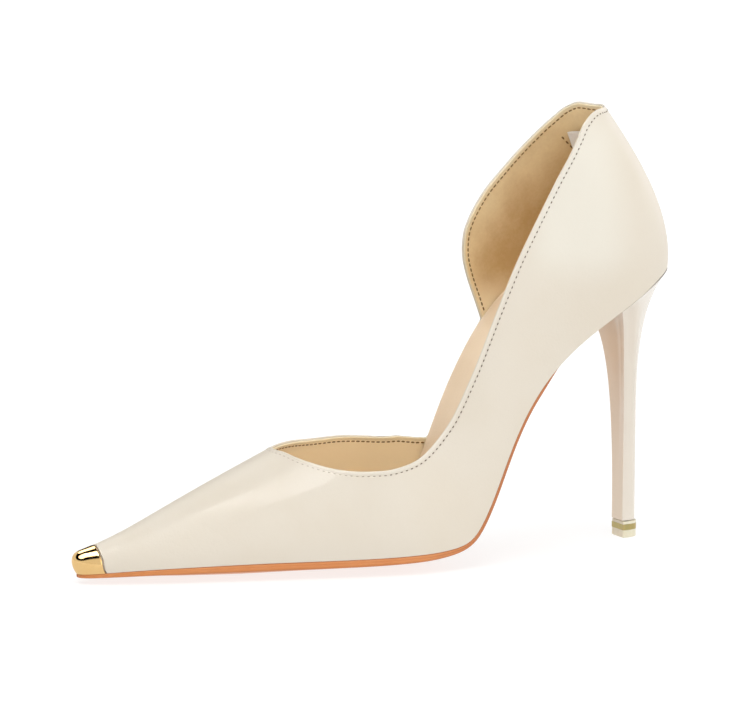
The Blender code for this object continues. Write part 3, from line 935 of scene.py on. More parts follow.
@dataclass(frozen=True)
class SockLeather(Finish):
    """Soft pinkish tan leather of the insole sock."""

    name: str = "sock_leather"
    colour: Colour = (0.82, 0.65, 0.46)
    deep: Colour = (0.74, 0.555, 0.365)
    cloud: Cloud = Cloud(18 * MM)
    cloud_range: Range = (0.3, 0.75)
    cloud_part: float = 0.6
    fine: Cloud = Cloud(0.9 * MM, 4.0, 0.6)
    fine_part: float = 0.3
    fine_height: float = 0.5
    pores: Pores = Pores(0.7 * MM, (0.1, 0.55))
    pore_height: float = 0.5
    depth: float = 0.05 * MM
    roughness: float = 0.48
    fine_sway: float = 0.16

    def values(self, board: Board) -> dict[str, Any]:
        """Shader values."""
        fine = board.noise(self.fine)
        darkening = board.noise(self.cloud).rise(*self.cloud_range) * self.cloud_part
        relief = board.pores(self.pores) * self.pore_height + fine * self.fine_height
        return {
            "Base Color": board.mix(darkening + fine.sway(self.fine_part), self.colour, self.deep),
            "Roughness": self.roughness + fine.sway(self.fine_sway),
            "Normal": board.bump(relief, self.depth),
            "Sheen Weight": 0.08,
        }


@dataclass(frozen=True)
class SoleLeather(Finish):
    """Orange-brown sole leather: a painted edge with a darker groove, painted shade along the top and
    the foot of its rounded edge, darker from the waist back, and a smooth dyed underside.
    """

    name: str = "sole_leather"
    colour: Colour = (0.58, 0.195, 0.045)
    cloud: Cloud = Cloud(9 * MM, 4.0, 0.6)
    pale: Tint = Tint((0.63, 0.245, 0.070), (0.3, 0.7), 0.45)
    groove: Colour = (0.36, 0.11, 0.028)
    groove_down: Band = (0.42, 0.52, 0.05)
    groove_along: Range = (0.45, 0.60)
    groove_part: float = 0.75
    top_rim: Range = (0.02, 0.22)
    low_rim: Range = (0.70, 0.98)
    low_rim_end: Range = (1.05, 1.25)
    rim_part: float = 0.45
    waist: Range = (0.50, 0.64)
    waist_part: float = 0.55
    fine: Cloud = Cloud(0.8 * MM, 4.0, 0.6)
    fine_height: float = 0.6
    cloud_height: float = 0.4
    depth: float = 0.05 * MM
    roughness: float = 0.40
    fine_sway: float = 0.2

    def values(self, board: Board) -> dict[str, Any]:
        """Shader values; the marks are the part of the length and the part down the edge.

        The second one runs from 0 at the top to 1 at the foot of the edge, and is 2 underneath.
        """
        along, down = board.marks()
        cloud, fine = board.noise(self.cloud), board.noise(self.fine)
        tone = board.tinted(self.colour, cloud, self.pale)
        # Painted shade: darker along the top and the foot of the edge, where it rounds away from the
        # light.
        rim_shade = down.fall(*self.top_rim) + down.rise(*self.low_rim) * down.fall(*self.low_rim_end)
        lined = down.band(*self.groove_down) * along.rise(*self.groove_along)
        dark = lined * self.groove_part + rim_shade * self.rim_part
        dark = dark + along.rise(*self.waist) * self.waist_part
        relief = fine * self.fine_height + cloud * self.cloud_height
        return {
            "Base Color": board.mix(dark, tone, self.groove),
            "Roughness": self.roughness + fine.sway(self.fine_sway),
            "Normal": board.bump(relief, self.depth),
            "Coat Weight": 0.15,
            "Coat Roughness": 0.25,
        }


@dataclass(frozen=True)
class PolishedGold(Finish):
    """Polished gold-coloured metal with a faint fine relief and handling haze."""

    name: str = "polished_gold"
    colour: Colour = (0.75, 0.503, 0.222)
    roughness: float = 0.07
    haze: Cloud = Cloud(4 * MM, 4.0, 0.6)
    hazed: Tint = Tint((0.70, 0.445, 0.175), (0.35, 0.7), 0.3)
    dull: Range = (0.4, 0.75)
    dull_part: float = 0.06
    fine: Cloud = Cloud(0.35 * MM)
    depth: float = 0.004 * MM

    def values(self, board: Board) -> dict[str, Any]:
        """Shader values."""
        haze = board.noise(self.haze)
        return {
            "Base Color": board.tinted(self.colour, haze, self.hazed),
            "Metallic": 1.0,
            "Roughness": self.roughness + haze.rise(*self.dull) * self.dull_part,
            "Normal": board.bump(board.noise(self.fine), self.depth),
        }


@dataclass(frozen=True)
class CoveredHeel(Finish):
    """Tight glossy leather over the heel, with painted light on the lower part of the flat breast, a
    lighter and warmer tone, and a painted shadow along its top at the back.
    """

    name: str = "heel_leather"
    colour: Colour = (0.68, 0.618, 0.532)
    cloud: Cloud = Cloud(20 * MM)
    warm: Tint = Tint((0.65, 0.58, 0.49), (0.35, 0.7), 0.35)
    # breast: painted light, a lighter and warmer tone for the light that the shaded breast takes from
    # round about.
    breast: Colour = (0.76, 0.67, 0.53)
    breast_turn: Range = (-0.03, 0.01)
    breast_rise: Range = (0.36, 0.62)
    breast_fade: float = 0.85
    # Painted shadow: a thin dark line along the top at the back, under the seat's edge.
    joint_shadow: Colour = (0.13, 0.10, 0.075)
    joint_shadow_turn: Range = (0.45, 0.90)
    joint_shadow_rise: Range = (0.991, 0.996)
    fine: Cloud = Cloud(1.8 * MM, 4.0, 0.6)
    fine_height: float = 0.5
    pores: Pores = Pores(0.8 * MM, (0.1, 0.6))
    pore_height: float = 0.3
    depth: float = 0.04 * MM
    roughness: float = 0.24
    fine_sway: float = 0.10

    def values(self, board: Board) -> dict[str, Any]:
        """Shader values; the first mark is negative on the breast and the second rises from 0 to 1."""
        turn, rise = board.marks()
        fine = board.noise(self.fine)
        body = board.tinted(self.colour, board.noise(self.cloud), self.warm)
        # Painted light on the lower breast, fading out upwards.
        breast = turn.fall(*self.breast_turn) * (1 - rise.rise(*self.breast_rise) * self.breast_fade)
        # Painted shadow in the joint under the seat, at the back.
        joint_shadow = rise.rise(*self.joint_shadow_rise) * turn.rise(*self.joint_shadow_turn)
        relief = board.pores(self.pores) * self.pore_height + fine * self.fine_height
        return {
            "Base Color": board.mix(joint_shadow, board.mix(breast, body, self.breast), self.joint_shadow),
            "Roughness": self.roughness + fine.sway(self.fine_sway),
            "Normal": board.bump(relief, self.depth),
            "Coat Weight": 0.14,
            "Coat Roughness": 0.10,
        }


@dataclass(frozen=True)
class PaleRubber(Finish):
    """Pale, slightly see-through wearing plastic."""

    name: str = "pale_tip"
    colour: Colour = (0.72, 0.675, 0.523)
    cloud: Cloud = Cloud(2.2 * MM)
    aged: Tint = Tint((0.66, 0.60, 0.43), (0.3, 0.75), 0.5)
    fine: Cloud = Cloud(0.3 * MM)
    depth: float = 0.01 * MM
    roughness: float = 0.32
    fine_sway: float = 0.2

    def values(self, board: Board) -> dict[str, Any]:
        """Shader values."""
        fine = board.noise(self.fine)
        return {
            "Base Color": board.tinted(self.colour, board.noise(self.cloud), self.aged),
            "Roughness": self.roughness + fine.sway(self.fine_sway),
            "Normal": board.bump(fine, self.depth),
            "Subsurface Weight": 0.25,
            "Subsurface Radius": (2.0 * MM, 1.6 * MM, 1.0 * MM),
            "Subsurface Scale": 1.0,
        }


@dataclass(frozen=True)
class SewingThread(Finish):
    """Twisted thread: fine slanted plies in a dull colour, paler in the vamp: a painted highlight for
    the leather's gloss washing the stitches out there.
    """

    name: str
    colour: Colour
    light: Colour
    # sunk: painted highlight, the paler tone of the thread in the vamp.
    sunk: Colour
    highlight_part: float
    highlight_along: Range = (-26 * MM, 4 * MM)
    twist: float = 3.0
    depth: float = 0.03 * MM

    def values(self, board: Board) -> dict[str, Any]:
        """Shader values; the first mark runs along a stitch and the second round it."""
        along, turn = board.marks()
        ply = ((along * self.twist + turn) * TURN).sine() * 0.5 + 0.5
        # Painted highlight: paler stitches towards the vamp.
        vamp_highlight = board.axes()[0].fall(*self.highlight_along) * self.highlight_part
        return {
            "Base Color": board.mix(vamp_highlight, board.mix(ply, self.colour, self.light), self.sunk),
            "Roughness": 0.7,
            "Normal": board.bump(ply, self.depth),
        }


@dataclass(frozen=True)
class WovenTape(Finish):
    """White woven tape: over-and-under threads of a quarter of a millimetre."""

    name: str = "woven_tape"
    colour: Colour = (0.97, 0.965, 0.95)
    shade: Colour = (0.83, 0.82, 0.79)
    threads: float = 4.0
    weave_part: float = 0.35
    fine: Cloud = Cloud(0.4 * MM)
    fine_part: float = 0.3
    fine_height: float = 0.4
    depth: float = 0.06 * MM

    def values(self, board: Board) -> dict[str, Any]:
        """Shader values; the marks are the place on the tape in millimetres."""
        warp, weft = ((mark * (TURN * self.threads / 2)).sine() for mark in board.marks())
        weave = warp * weft * 0.5 + 0.5
        fine = board.noise(self.fine)
        shade = weave * self.weave_part + fine * self.fine_part
        return {
            "Base Color": board.mix(shade, self.colour, self.shade),
            "Roughness": 0.75,
            "Normal": board.bump(weave + fine * self.fine_height, self.depth),
            "Sheen Weight": 0.2,
        }


@dataclass(frozen=True)
class FloorPaint(Finish):
    """Pale matt floor with a faint mottle and a glow of its own that keeps it near white."""

    name: str = "pale_floor"
    colour: Colour = (0.24, 0.24, 0.24)
    cloud: Cloud = Cloud(40 * MM)
    mottle: Tint = Tint((0.228, 0.228, 0.224), (0.3, 0.7), 1.0)
    roughness: float = 0.6
    cloud_sway: float = 0.1
    glow: float = 0.78

    def values(self, board: Board) -> dict[str, Any]:
        """Shader values."""
        cloud = board.noise(self.cloud)
        return {
            "Base Color": board.tinted(self.colour, cloud, self.mottle),
            "Roughness": self.roughness + cloud.sway(self.cloud_sway),
            "Specular IOR Level": 0.2,
            "Emission Color": (1.0, 1.0, 1.0),
            "Emission Strength": self.glow,
        }


EDGE_THREAD = SewingThread(
    "edge_thread", (0.10, 0.07, 0.045), (0.20, 0.15, 0.10), (0.60, 0.53, 0.43), 0.85
)
LINING_THREAD = SewingThread(
    "lining_thread", (0.17, 0.095, 0.03), (0.30, 0.19, 0.075), (0.22, 0.12, 0.04), 0.5
)
BAND_GOLD = PolishedGold("band_gold", (0.386, 0.326, 0.135), 0.28)


@dataclass
class StitchRow:
    """Row of short sewn stitches: one little spindle of thread repeated at an even pitch."""

    pitch: float = 2.0 * MM
    length: float = 0.95 * MM
    width: float = 0.42 * MM
    height: float = 0.30 * MM
    lift: float = 0.02 * MM
    taper: float = 0.6
    steps_along: int = 6
    steps_round: int = 6

    def build(
        self, name: str, path: Array, normals: Array, material: bpy.types.Material
    ) -> bpy.types.Object:
        """Sews along a path.

        Each stitch is a spindle: its half length times the cosine of a turn along the path, and a flat
        ellipse times a power of that turn's sine across it.

        Args:
            name: Name of the piece.
            path: Points of the seam, on the surface.
            normals: Direction out of the surface at each.
            material: Finish of the thread.

        Returns:
            One object with all the stitches.
        """
        run = np.concatenate([[0.0], np.cumsum(np.linalg.norm(np.diff(path, axis=0), axis=1))])
        count = int(run[-1] // self.pitch)
        at = (np.arange(count) + 0.5) * run[-1] / count

        def follow(rows: Array, places: Array) -> Array:
            """Rows at places along the run."""
            return np.stack([np.interp(places, run, rows[:, k]) for k in range(3)], axis=1)

        reach = self.length / 2
        ahead, behind = follow(path, at + reach), follow(path, at - reach)
        out = unit(follow(normals, at))
        along = unit(ahead - behind)
        side = unit(np.cross(out, along))
        centre = (ahead + behind) / 2 + out * self.lift
        turn = np.linspace(0, np.pi, self.steps_along + 1)[None, :, None, None]
        round_ = np.linspace(0, TURN, self.steps_round + 1)[None, None, :, None]
        along, side, out, centre = (v[:, None, None, :] for v in (along, side, out, centre))
        across = side * np.cos(round_) * self.width / 2 + out * np.sin(round_) * self.height / 2
        spindle = centre + along * np.cos(turn) * reach + across * np.sin(turn) ** self.taper
        marks = np.broadcast_arrays(turn[..., 0] / np.pi, round_[..., 0] / TURN)
        shell = Shell()
        shell.cover(shell.add(spindle, np.stack(marks, axis=-1)))
        return shell.build(name, material, crease=80.0)


EDGE_ROW = StitchRow()
LINING_ROW = StitchRow(length=1.5 * MM, width=0.62 * MM, height=0.46 * MM)
LABEL_ROW = replace(LINING_ROW, pitch=1.9 * MM)


@dataclass
class Topline:
    """Edge of the upper as a closed line: outer side from the throat, round the heel and back.

    The up direction lies in the wall and points off the leather.
    """

    points: Array
    normals: Array
    up: Array
    shares: Array

    def offset(self, depth: float, rise: float) -> Array:
        """Points at a depth under the outer face and a rise off the edge."""
        return self.points - self.normals * depth + self.up * rise


@dataclass
class Upper:
    """Leather, lining and seams of the upper."""

    last: Last
    wall: float = WALL
    leather: float = 0.86 * MM
    lining_out: float = 0.88 * MM
    leather_crest: float = 0.42 * MM
    lining_crest: float = 0.28 * MM
    crest_steps: int = 10
    seam: float = 1.5 * MM
    inner_seam: float = 1.45 * MM
    cap_along: float = CAP_ALONG
    cap_recess: float = 0.95 * MM
    clearance: float = CLEARANCE
    fill_along: float = 6.0
    throat_along: float = 36.2
    column_count: int = 300
    column_least: float = 0.2
    fine_steps: int = 6000
    outer_levels: int = 40
    inner_levels: int = 14
    lining_levels: int = 30
    level_power: float = 1.5
    seam_least: float = 0.09

    def __post_init__(self) -> None:
        """Spaces the columns evenly by the travel of the feather line and both edges together."""
        last = self.last
        self.edges = {
            Side.OUTER: SteadyTable(LATERAL_EDGE, EDGE_COLUMNS),
            Side.INNER: SteadyTable(MEDIAL_EDGE, EDGE_COLUMNS),
        }
        fine = np.linspace(0, 1, self.fine_steps + 1)
        lines = [last.feather(fine)]
        lines += [last.surface(self.way(side, fine), self.edge(side, fine)) for side in Side]
        travel = sum(np.linalg.norm(np.diff(line, axis=0), axis=1) for line in lines)
        travel = np.concatenate([[0.0], np.cumsum(travel)])
        even = np.interp(np.linspace(0, travel[-1], self.column_count + 1), travel, fine)
        self.cap_end = last.path_at(self.cap_along) + self.clearance / last.length
        self.cap_step = self.cap_end + self.clearance / 2 / last.length
        self.throat = last.path_at(self.throat_along)
        fill_end = last.path_at(self.fill_along)
        fixed = np.array([0.0, self.cap_end, self.cap_step, fill_end, self.throat, 1.0])
        apart = np.min(np.abs(even[:, None] - fixed), axis=1)
        even = even[apart > self.column_least / self.column_count]
        self.ways = np.unique(np.concatenate([even, fixed]))
        self.hollow = int(np.argmin(np.abs(self.ways - fill_end)))
        self.opening = int(np.argmin(np.abs(self.ways - self.throat)))

    def crowded(self, count: int) -> Array:
        """Places from 0 to 1 that crowd towards 1 by a power."""
        return 1 - (1 - np.linspace(0, 1, count + 1)) ** self.level_power

    @staticmethod
    def way(side: Side, ways: Array) -> Array:
        """Ways on a side for places along the outer one."""
        return ways if side is Side.OUTER else 2 - ways

    def edge(self, side: Side, ways: Array) -> Array:
        """Share of the wall that is left on a side."""
        return self.edges[side].at(self.last.percent_at(ways))["share"][..., 0]

    def wall_grid(self, side: Side, levels: Array, depth: Array | float) -> tuple[Array, Array]:
        """Grid over one side of the wall.

        Args:
            side: Side of the foot.
            levels: Places from the feather line (0) to the edge (1).
            depth: Depth under the outer face.

        Returns:
            Points by column and level, and their marks: millimetres over the feather line and
            millimetres from the edge, measured up the wall.
        """
        share = self.edge(side, self.ways)[:, None] * levels[None, :]
        grid = self.last.inside(self.way(side, self.ways)[:, None], share, depth)
        steps = np.linalg.norm(np.diff(grid, axis=1), axis=-1)
        height = np.concatenate([np.zeros((len(grid), 1)), np.cumsum(steps, axis=1)], axis=1) / MM
        from_edge = height[:, -1:] - height
        open_edge = np.arange(len(grid)) >= self.opening
        ridge = np.linalg.norm(grid[:, -1:] - grid[self.opening, -1], axis=-1) / MM
        from_edge = np.where(open_edge[:, None], from_edge, from_edge + ridge)
        return grid, np.stack([height, from_edge], axis=-1)

    def topline(self) -> Topline:
        """The edge as a closed line with its normals and its up directions."""
        outer = self.ways[self.opening :]
        inner = self.ways[-2 : self.opening : -1]
        ways = np.concatenate([outer, 2 - inner])
        shares = np.concatenate([self.edge(Side.OUTER, outer), self.edge(Side.INNER, inner)])
        points = self.last.surface(ways, shares)
        normals = self.last.normal(ways, shares)
        run = np.roll(points, -1, axis=0) - np.roll(points, 1, axis=0)
        return Topline(points, normals, unit(np.cross(normals, run)), shares)

    def round_over(self, shell: Shell, near: float, far: float, crest: float) -> None:
        """Closes the edge between two depths by half an ellipse carried along the topline.

        Args:
            shell: Shell whose grids end at those depths.
            near: Depth of the one face.
            far: Depth of the other face.
            crest: Height of the ellipse.
        """
        turn = np.linspace(0, np.pi, self.crest_steps + 1)
        depths = near + (far - near) * (1 - np.cos(turn)) / 2
        line = self.topline()
        rows = np.stack([line.offset(depth, rise) for depth, rise in zip(depths, crest * np.sin(turn))])
        shell.wrap(shell.add(rows))

    def make_leather(self, finish: GlossLeather) -> bpy.types.Object:
        """Outer leather: the wall, recessed under the toe cap and rounded over at its edge."""
        shell = Shell()
        levels = self.crowded(self.outer_levels)
        back_levels = np.linspace(0, 1, self.inner_levels + 1)
        recess = np.where(self.ways <= self.cap_end, self.cap_recess, 0.0)[:, None, None]
        feet = []
        for side in Side:
            outer = shell.add(*self.wall_grid(side, levels, recess))
            back, marks = self.wall_grid(side, back_levels, self.leather)
            inner = shell.add(back[self.hollow :], marks[self.hollow :])
            shell.cover(outer)
            shell.cover(inner)
            shell.bridge(outer[self.hollow :, 0], inner[:, 0])
            feet.append((outer, inner))
        (outer_a, inner_a), (outer_b, inner_b) = feet
        shell.bridge(outer_a[: self.hollow + 1, 0], outer_b[: self.hollow + 1, 0])
        shell.bridge(inner_a[0], inner_b[0])
        foot_a = (outer_a[self.hollow, 0], inner_a[0, 0])
        foot_b = (outer_b[self.hollow, 0], inner_b[0, 0])
        shell.cover(np.array([foot_a, foot_b]))
        self.round_over(shell, 0.0, self.leather, self.leather_crest)
        return settle(shell.build("upper_leather", finish.material()), "upper", "upper")

    def make_lining(self, finish: SoftLining) -> bpy.types.Object:
        """Lining: a thin closed layer inside the leather, with its own rounded edge."""
        shell = Shell()
        start = self.hollow + 1
        levels = self.crowded(self.lining_levels)
        for side in Side:
            face, marks = self.wall_grid(side, levels, self.wall)
            face_numbers = shell.add(face[start:], marks[start:])
            back, marks = self.wall_grid(side, levels, self.lining_out)
            back_numbers = shell.add(back[start:], marks[start:])
            shell.cover(face_numbers)
            shell.cover(back_numbers)
            shell.bridge(face_numbers[:, 0], back_numbers[:, 0])
            shell.bridge(face_numbers[0], back_numbers[0])
        self.round_over(shell, self.lining_out, self.wall, self.lining_crest)
        return settle(shell.build("upper_lining", finish.material()), "upper")

    def make_stitches(self, outer_thread: SewingThread, inner_thread: SewingThread) -> None:
        """Seams along the edge, outside and inside, from one end of the cut-away round to the other."""
        line = self.topline()
        count = len(line.shares)
        low = np.flatnonzero(line.shares < self.seam_least)
        order = np.roll(np.arange(count), -(low[-1] + 1))[: count - (low[-1] - low[0] + 1)]
        normals = line.normals[order]
        outside = line.offset(0.0, -self.seam)[order]
        inside = line.offset(self.wall, -self.inner_seam)[order]
        settle(EDGE_ROW.build("edge_stitches", outside, normals, outer_thread.material()), "upper")
        settle(LINING_ROW.build("lining_stitches", inside, -normals, inner_thread.material()), "upper")


@dataclass
class ToeCap:
    """Polished metal shell over the tip of the toe."""

    last: Last
    along: float = CAP_ALONG
    thickness: float = 0.8 * MM
    proud: float = 0.15 * MM
    rim: float = 0.35 * MM
    rim_drop: float = 0.2 * MM
    rim_steps: tuple[float, ...] = (0.75, 0.5, 0.3, 0.15, 0.05)
    columns: int = 44
    column_power: float = 1.25
    levels: int = 40

    def make(self, finish: PolishedGold) -> bpy.types.Object:
        """Two walls that follow the last, the outer one rounded down towards its rear rim."""
        end = self.last.path_at(self.along)
        ways = end * np.linspace(0, 1, self.columns + 1) ** self.column_power
        rim_ways = end - self.rim / self.last.length * np.array(self.rim_steps)
        ways = np.unique(np.append(ways, rim_ways))
        levels = np.linspace(0, 1, self.levels + 1)
        to_rim = np.clip((end - ways) * self.last.length / self.rim, 0, 1)
        sink = (self.proud + self.rim_drop) * (1 - np.sqrt(1 - (1 - to_rim) ** 2))
        shell = Shell()
        for side in Side:
            way = Upper.way(side, ways)[:, None]
            share = np.broadcast_to(levels, (len(ways), len(levels)))
            outer = shell.add(self.last.inside(way, share, (sink - self.proud)[:, None, None]))
            inner = shell.add(self.last.inside(way, share, self.thickness - self.proud))
            shell.cover(outer)
            shell.cover(inner)
            shell.bridge(outer[-1], inner[-1])
            shell.bridge(outer[:, 0], inner[:, 0])
        return settle(shell.build("toe_cap_shell", finish.material()), "toe_cap", "toe_cap")


@dataclass
class Layer:
    """Layer of the bottom made from two faces that meet half-way down its edge.

    Each edge profile is a list of (part of the thickness from the top, millimetres out of the line),
    from the middle of the edge to the face.
    """

    last: Last
    strips: int
    upper_edge: Profile
    lower_edge: Profile
    cup_power: float = 3.0

    def face(
        self,
        ways: Array,
        inset: Array,
        top: Array,
        bottom: Array,
        edge: Profile,
        cup: Array | float,
    ) -> tuple[Array, Array]:
        """One face with its half of the edge on both sides.

        Args:
            ways: Places along the shoe.
            inset: Distance of the layer's edge from the feather line at each way, as a column.
            top: Depth of the top at each way, as a column.
            bottom: Depth of the bottom at each way, as a column.
            edge: Edge profile.
            cup: Rise of the border over the middle at each way, as a column.

        Returns:
            Points by row and column, and their marks: the part of the length, and the part of the
            thickness, doubled between the edges.
        """
        part, out = np.array(edge).T
        across = np.linspace(0, 1, self.strips + 1)[1:-1]
        parts = np.concatenate([part, np.full(len(across), part[-1]), part[::-1]])
        insets = inset - np.concatenate([out, np.full(len(across), out[-1]), out[::-1]]) * MM
        places = np.concatenate([np.zeros(len(part)), across, np.ones(len(part))])
        cupped = top - cup * np.abs(2 * places - 1)[None, :] ** self.cup_power
        depth = cupped + (bottom - cupped) * parts[None, :]
        grid = self.last.bottom(ways, insets, places, depth)
        under = np.concatenate([part, np.full(len(across), part[-1] * 2), part[::-1]])
        run = self.last.percent_at(ways)[:, None] / 100
        return grid, np.stack(np.broadcast_arrays(run, under[None, :]), axis=-1)

    def shell(
        self,
        ways: Array,
        inset: Array,
        top: Array,
        bottom: Array,
        on_floor: bool,
        cup: Array | float = 0.0,
    ) -> Shell:
        """Closed shell of the layer.

        Args:
            ways: Places along the shoe.
            inset: Distance of the layer's edge from the feather line at each way, as a column.
            top: Depth of the top at each way, as a column.
            bottom: Depth of the bottom at each way, as a column.
            on_floor: Whether it stops level at the floor.
            cup: Rise of the border over the middle at each way, as a column.

        Returns:
            The shell, ready to build.
        """
        shell = Shell()
        faces = []
        for edge in (self.upper_edge, self.lower_edge):
            grid, marks = self.face(ways, inset, top, bottom, edge, cup)
            if on_floor:
                grid[..., 2] = np.maximum(grid[..., 2], 0.0)
            faces.append(shell.add(grid, marks))
            shell.cover(faces[-1])
        for row in (0, -1):
            shell.bridge(faces[0][row], faces[1][row])
        return shell


@dataclass
class Bottom:
    """Outsole and padded insole sock."""

    last: Last
    breast_along: float = BREAST_ALONG
    insole_along: float = 8.5
    insole_inset: float = 2.1 * MM
    clearance: float = CLEARANCE
    joint: float = 0.03 * MM
    tuck_start: float = 72.0
    tuck_length: float = 7.0
    tuck_inset: float = 2.0 * MM
    tuck_thin: float = 0.75
    rows: int = 260
    row_power: float = 1.1
    sole_strips: int = 28
    sole_top: Profile = (
        (0.46, 0.02),
        (0.41, 0.04),
        (0.37, 0.09),
        (0.27, 0.08),
        (0.15, 0.03),
        (0.05, -0.06),
        (0.0, -0.18),
    )
    sole_foot: Profile = (
        (0.46, 0.02),
        (0.51, 0.04),
        (0.55, 0.09),
        (0.67, 0.06),
        (0.82, -0.03),
        (0.94, -0.20),
        (1.0, -0.5),
    )
    sock_strips: int = 24
    sock_top: Profile = (
        (0.5, 0.0),
        (0.25, -0.02),
        (0.12, -0.12),
        (0.05, -0.35),
        (0.015, -0.75),
        (0.0, -1.4),
    )
    sock_foot: Profile = (
        (0.5, 0.0),
        (0.75, 0.0),
        (0.9, 0.0),
        (0.96, 0.0),
        (0.99, 0.0),
        (1.0, -0.02),
    )
    fill: float = 0.9

    def make_outsole(self, finish: SoleLeather) -> bpy.types.Object:
        """Thin sole: two rounded beads with a groove between them, drawn in and thinned at the heel."""
        layer = Layer(self.last, self.sole_strips, self.sole_top, self.sole_foot)
        end = self.last.path_at(self.breast_along) - self.clearance / self.last.length
        ways = end * np.linspace(0, 1, self.rows + 1) ** self.row_power
        ways = ways[ways > self.last.end_margin]
        top = np.full((len(ways), 1), self.joint)
        tuck = smooth((self.last.percent_at(ways)[:, None] - self.tuck_start) / self.tuck_length)
        thickness = self.last.thickness(ways, "sole") * (1 - self.tuck_thin * tuck)
        bottom = self.clearance * (1 - tuck) + thickness
        shell = layer.shell(ways, self.tuck_inset * tuck, top, bottom, True)
        return settle(shell.build("sole", finish.material(), crease=50.0), "outsole", "outsole")

    def make_insole(self, finish: SockLeather) -> bpy.types.Object:
        """Sock over the padded board: a soft shoulder along its border, which is cupped at the heel."""
        layer = Layer(self.last, self.sock_strips, self.sock_top, self.sock_foot)
        ways = np.linspace(self.last.path_at(self.insole_along), 1.0, self.rows + 1)
        bottom = np.zeros((len(ways), 1))
        inset = np.full((len(ways), 1), self.insole_inset)
        top = bottom - self.last.thickness(ways, "insole")
        cup = SteadyTable(CUP, CUP_COLUMNS).at(self.last.percent_at(ways))["cup"] * MM
        shell = layer.shell(ways, inset, top, bottom, False, cup)
        piece = shell.build("insole_sock", finish.material(), crease=60.0)
        settle(piece, "insole", "insole")
        return piece


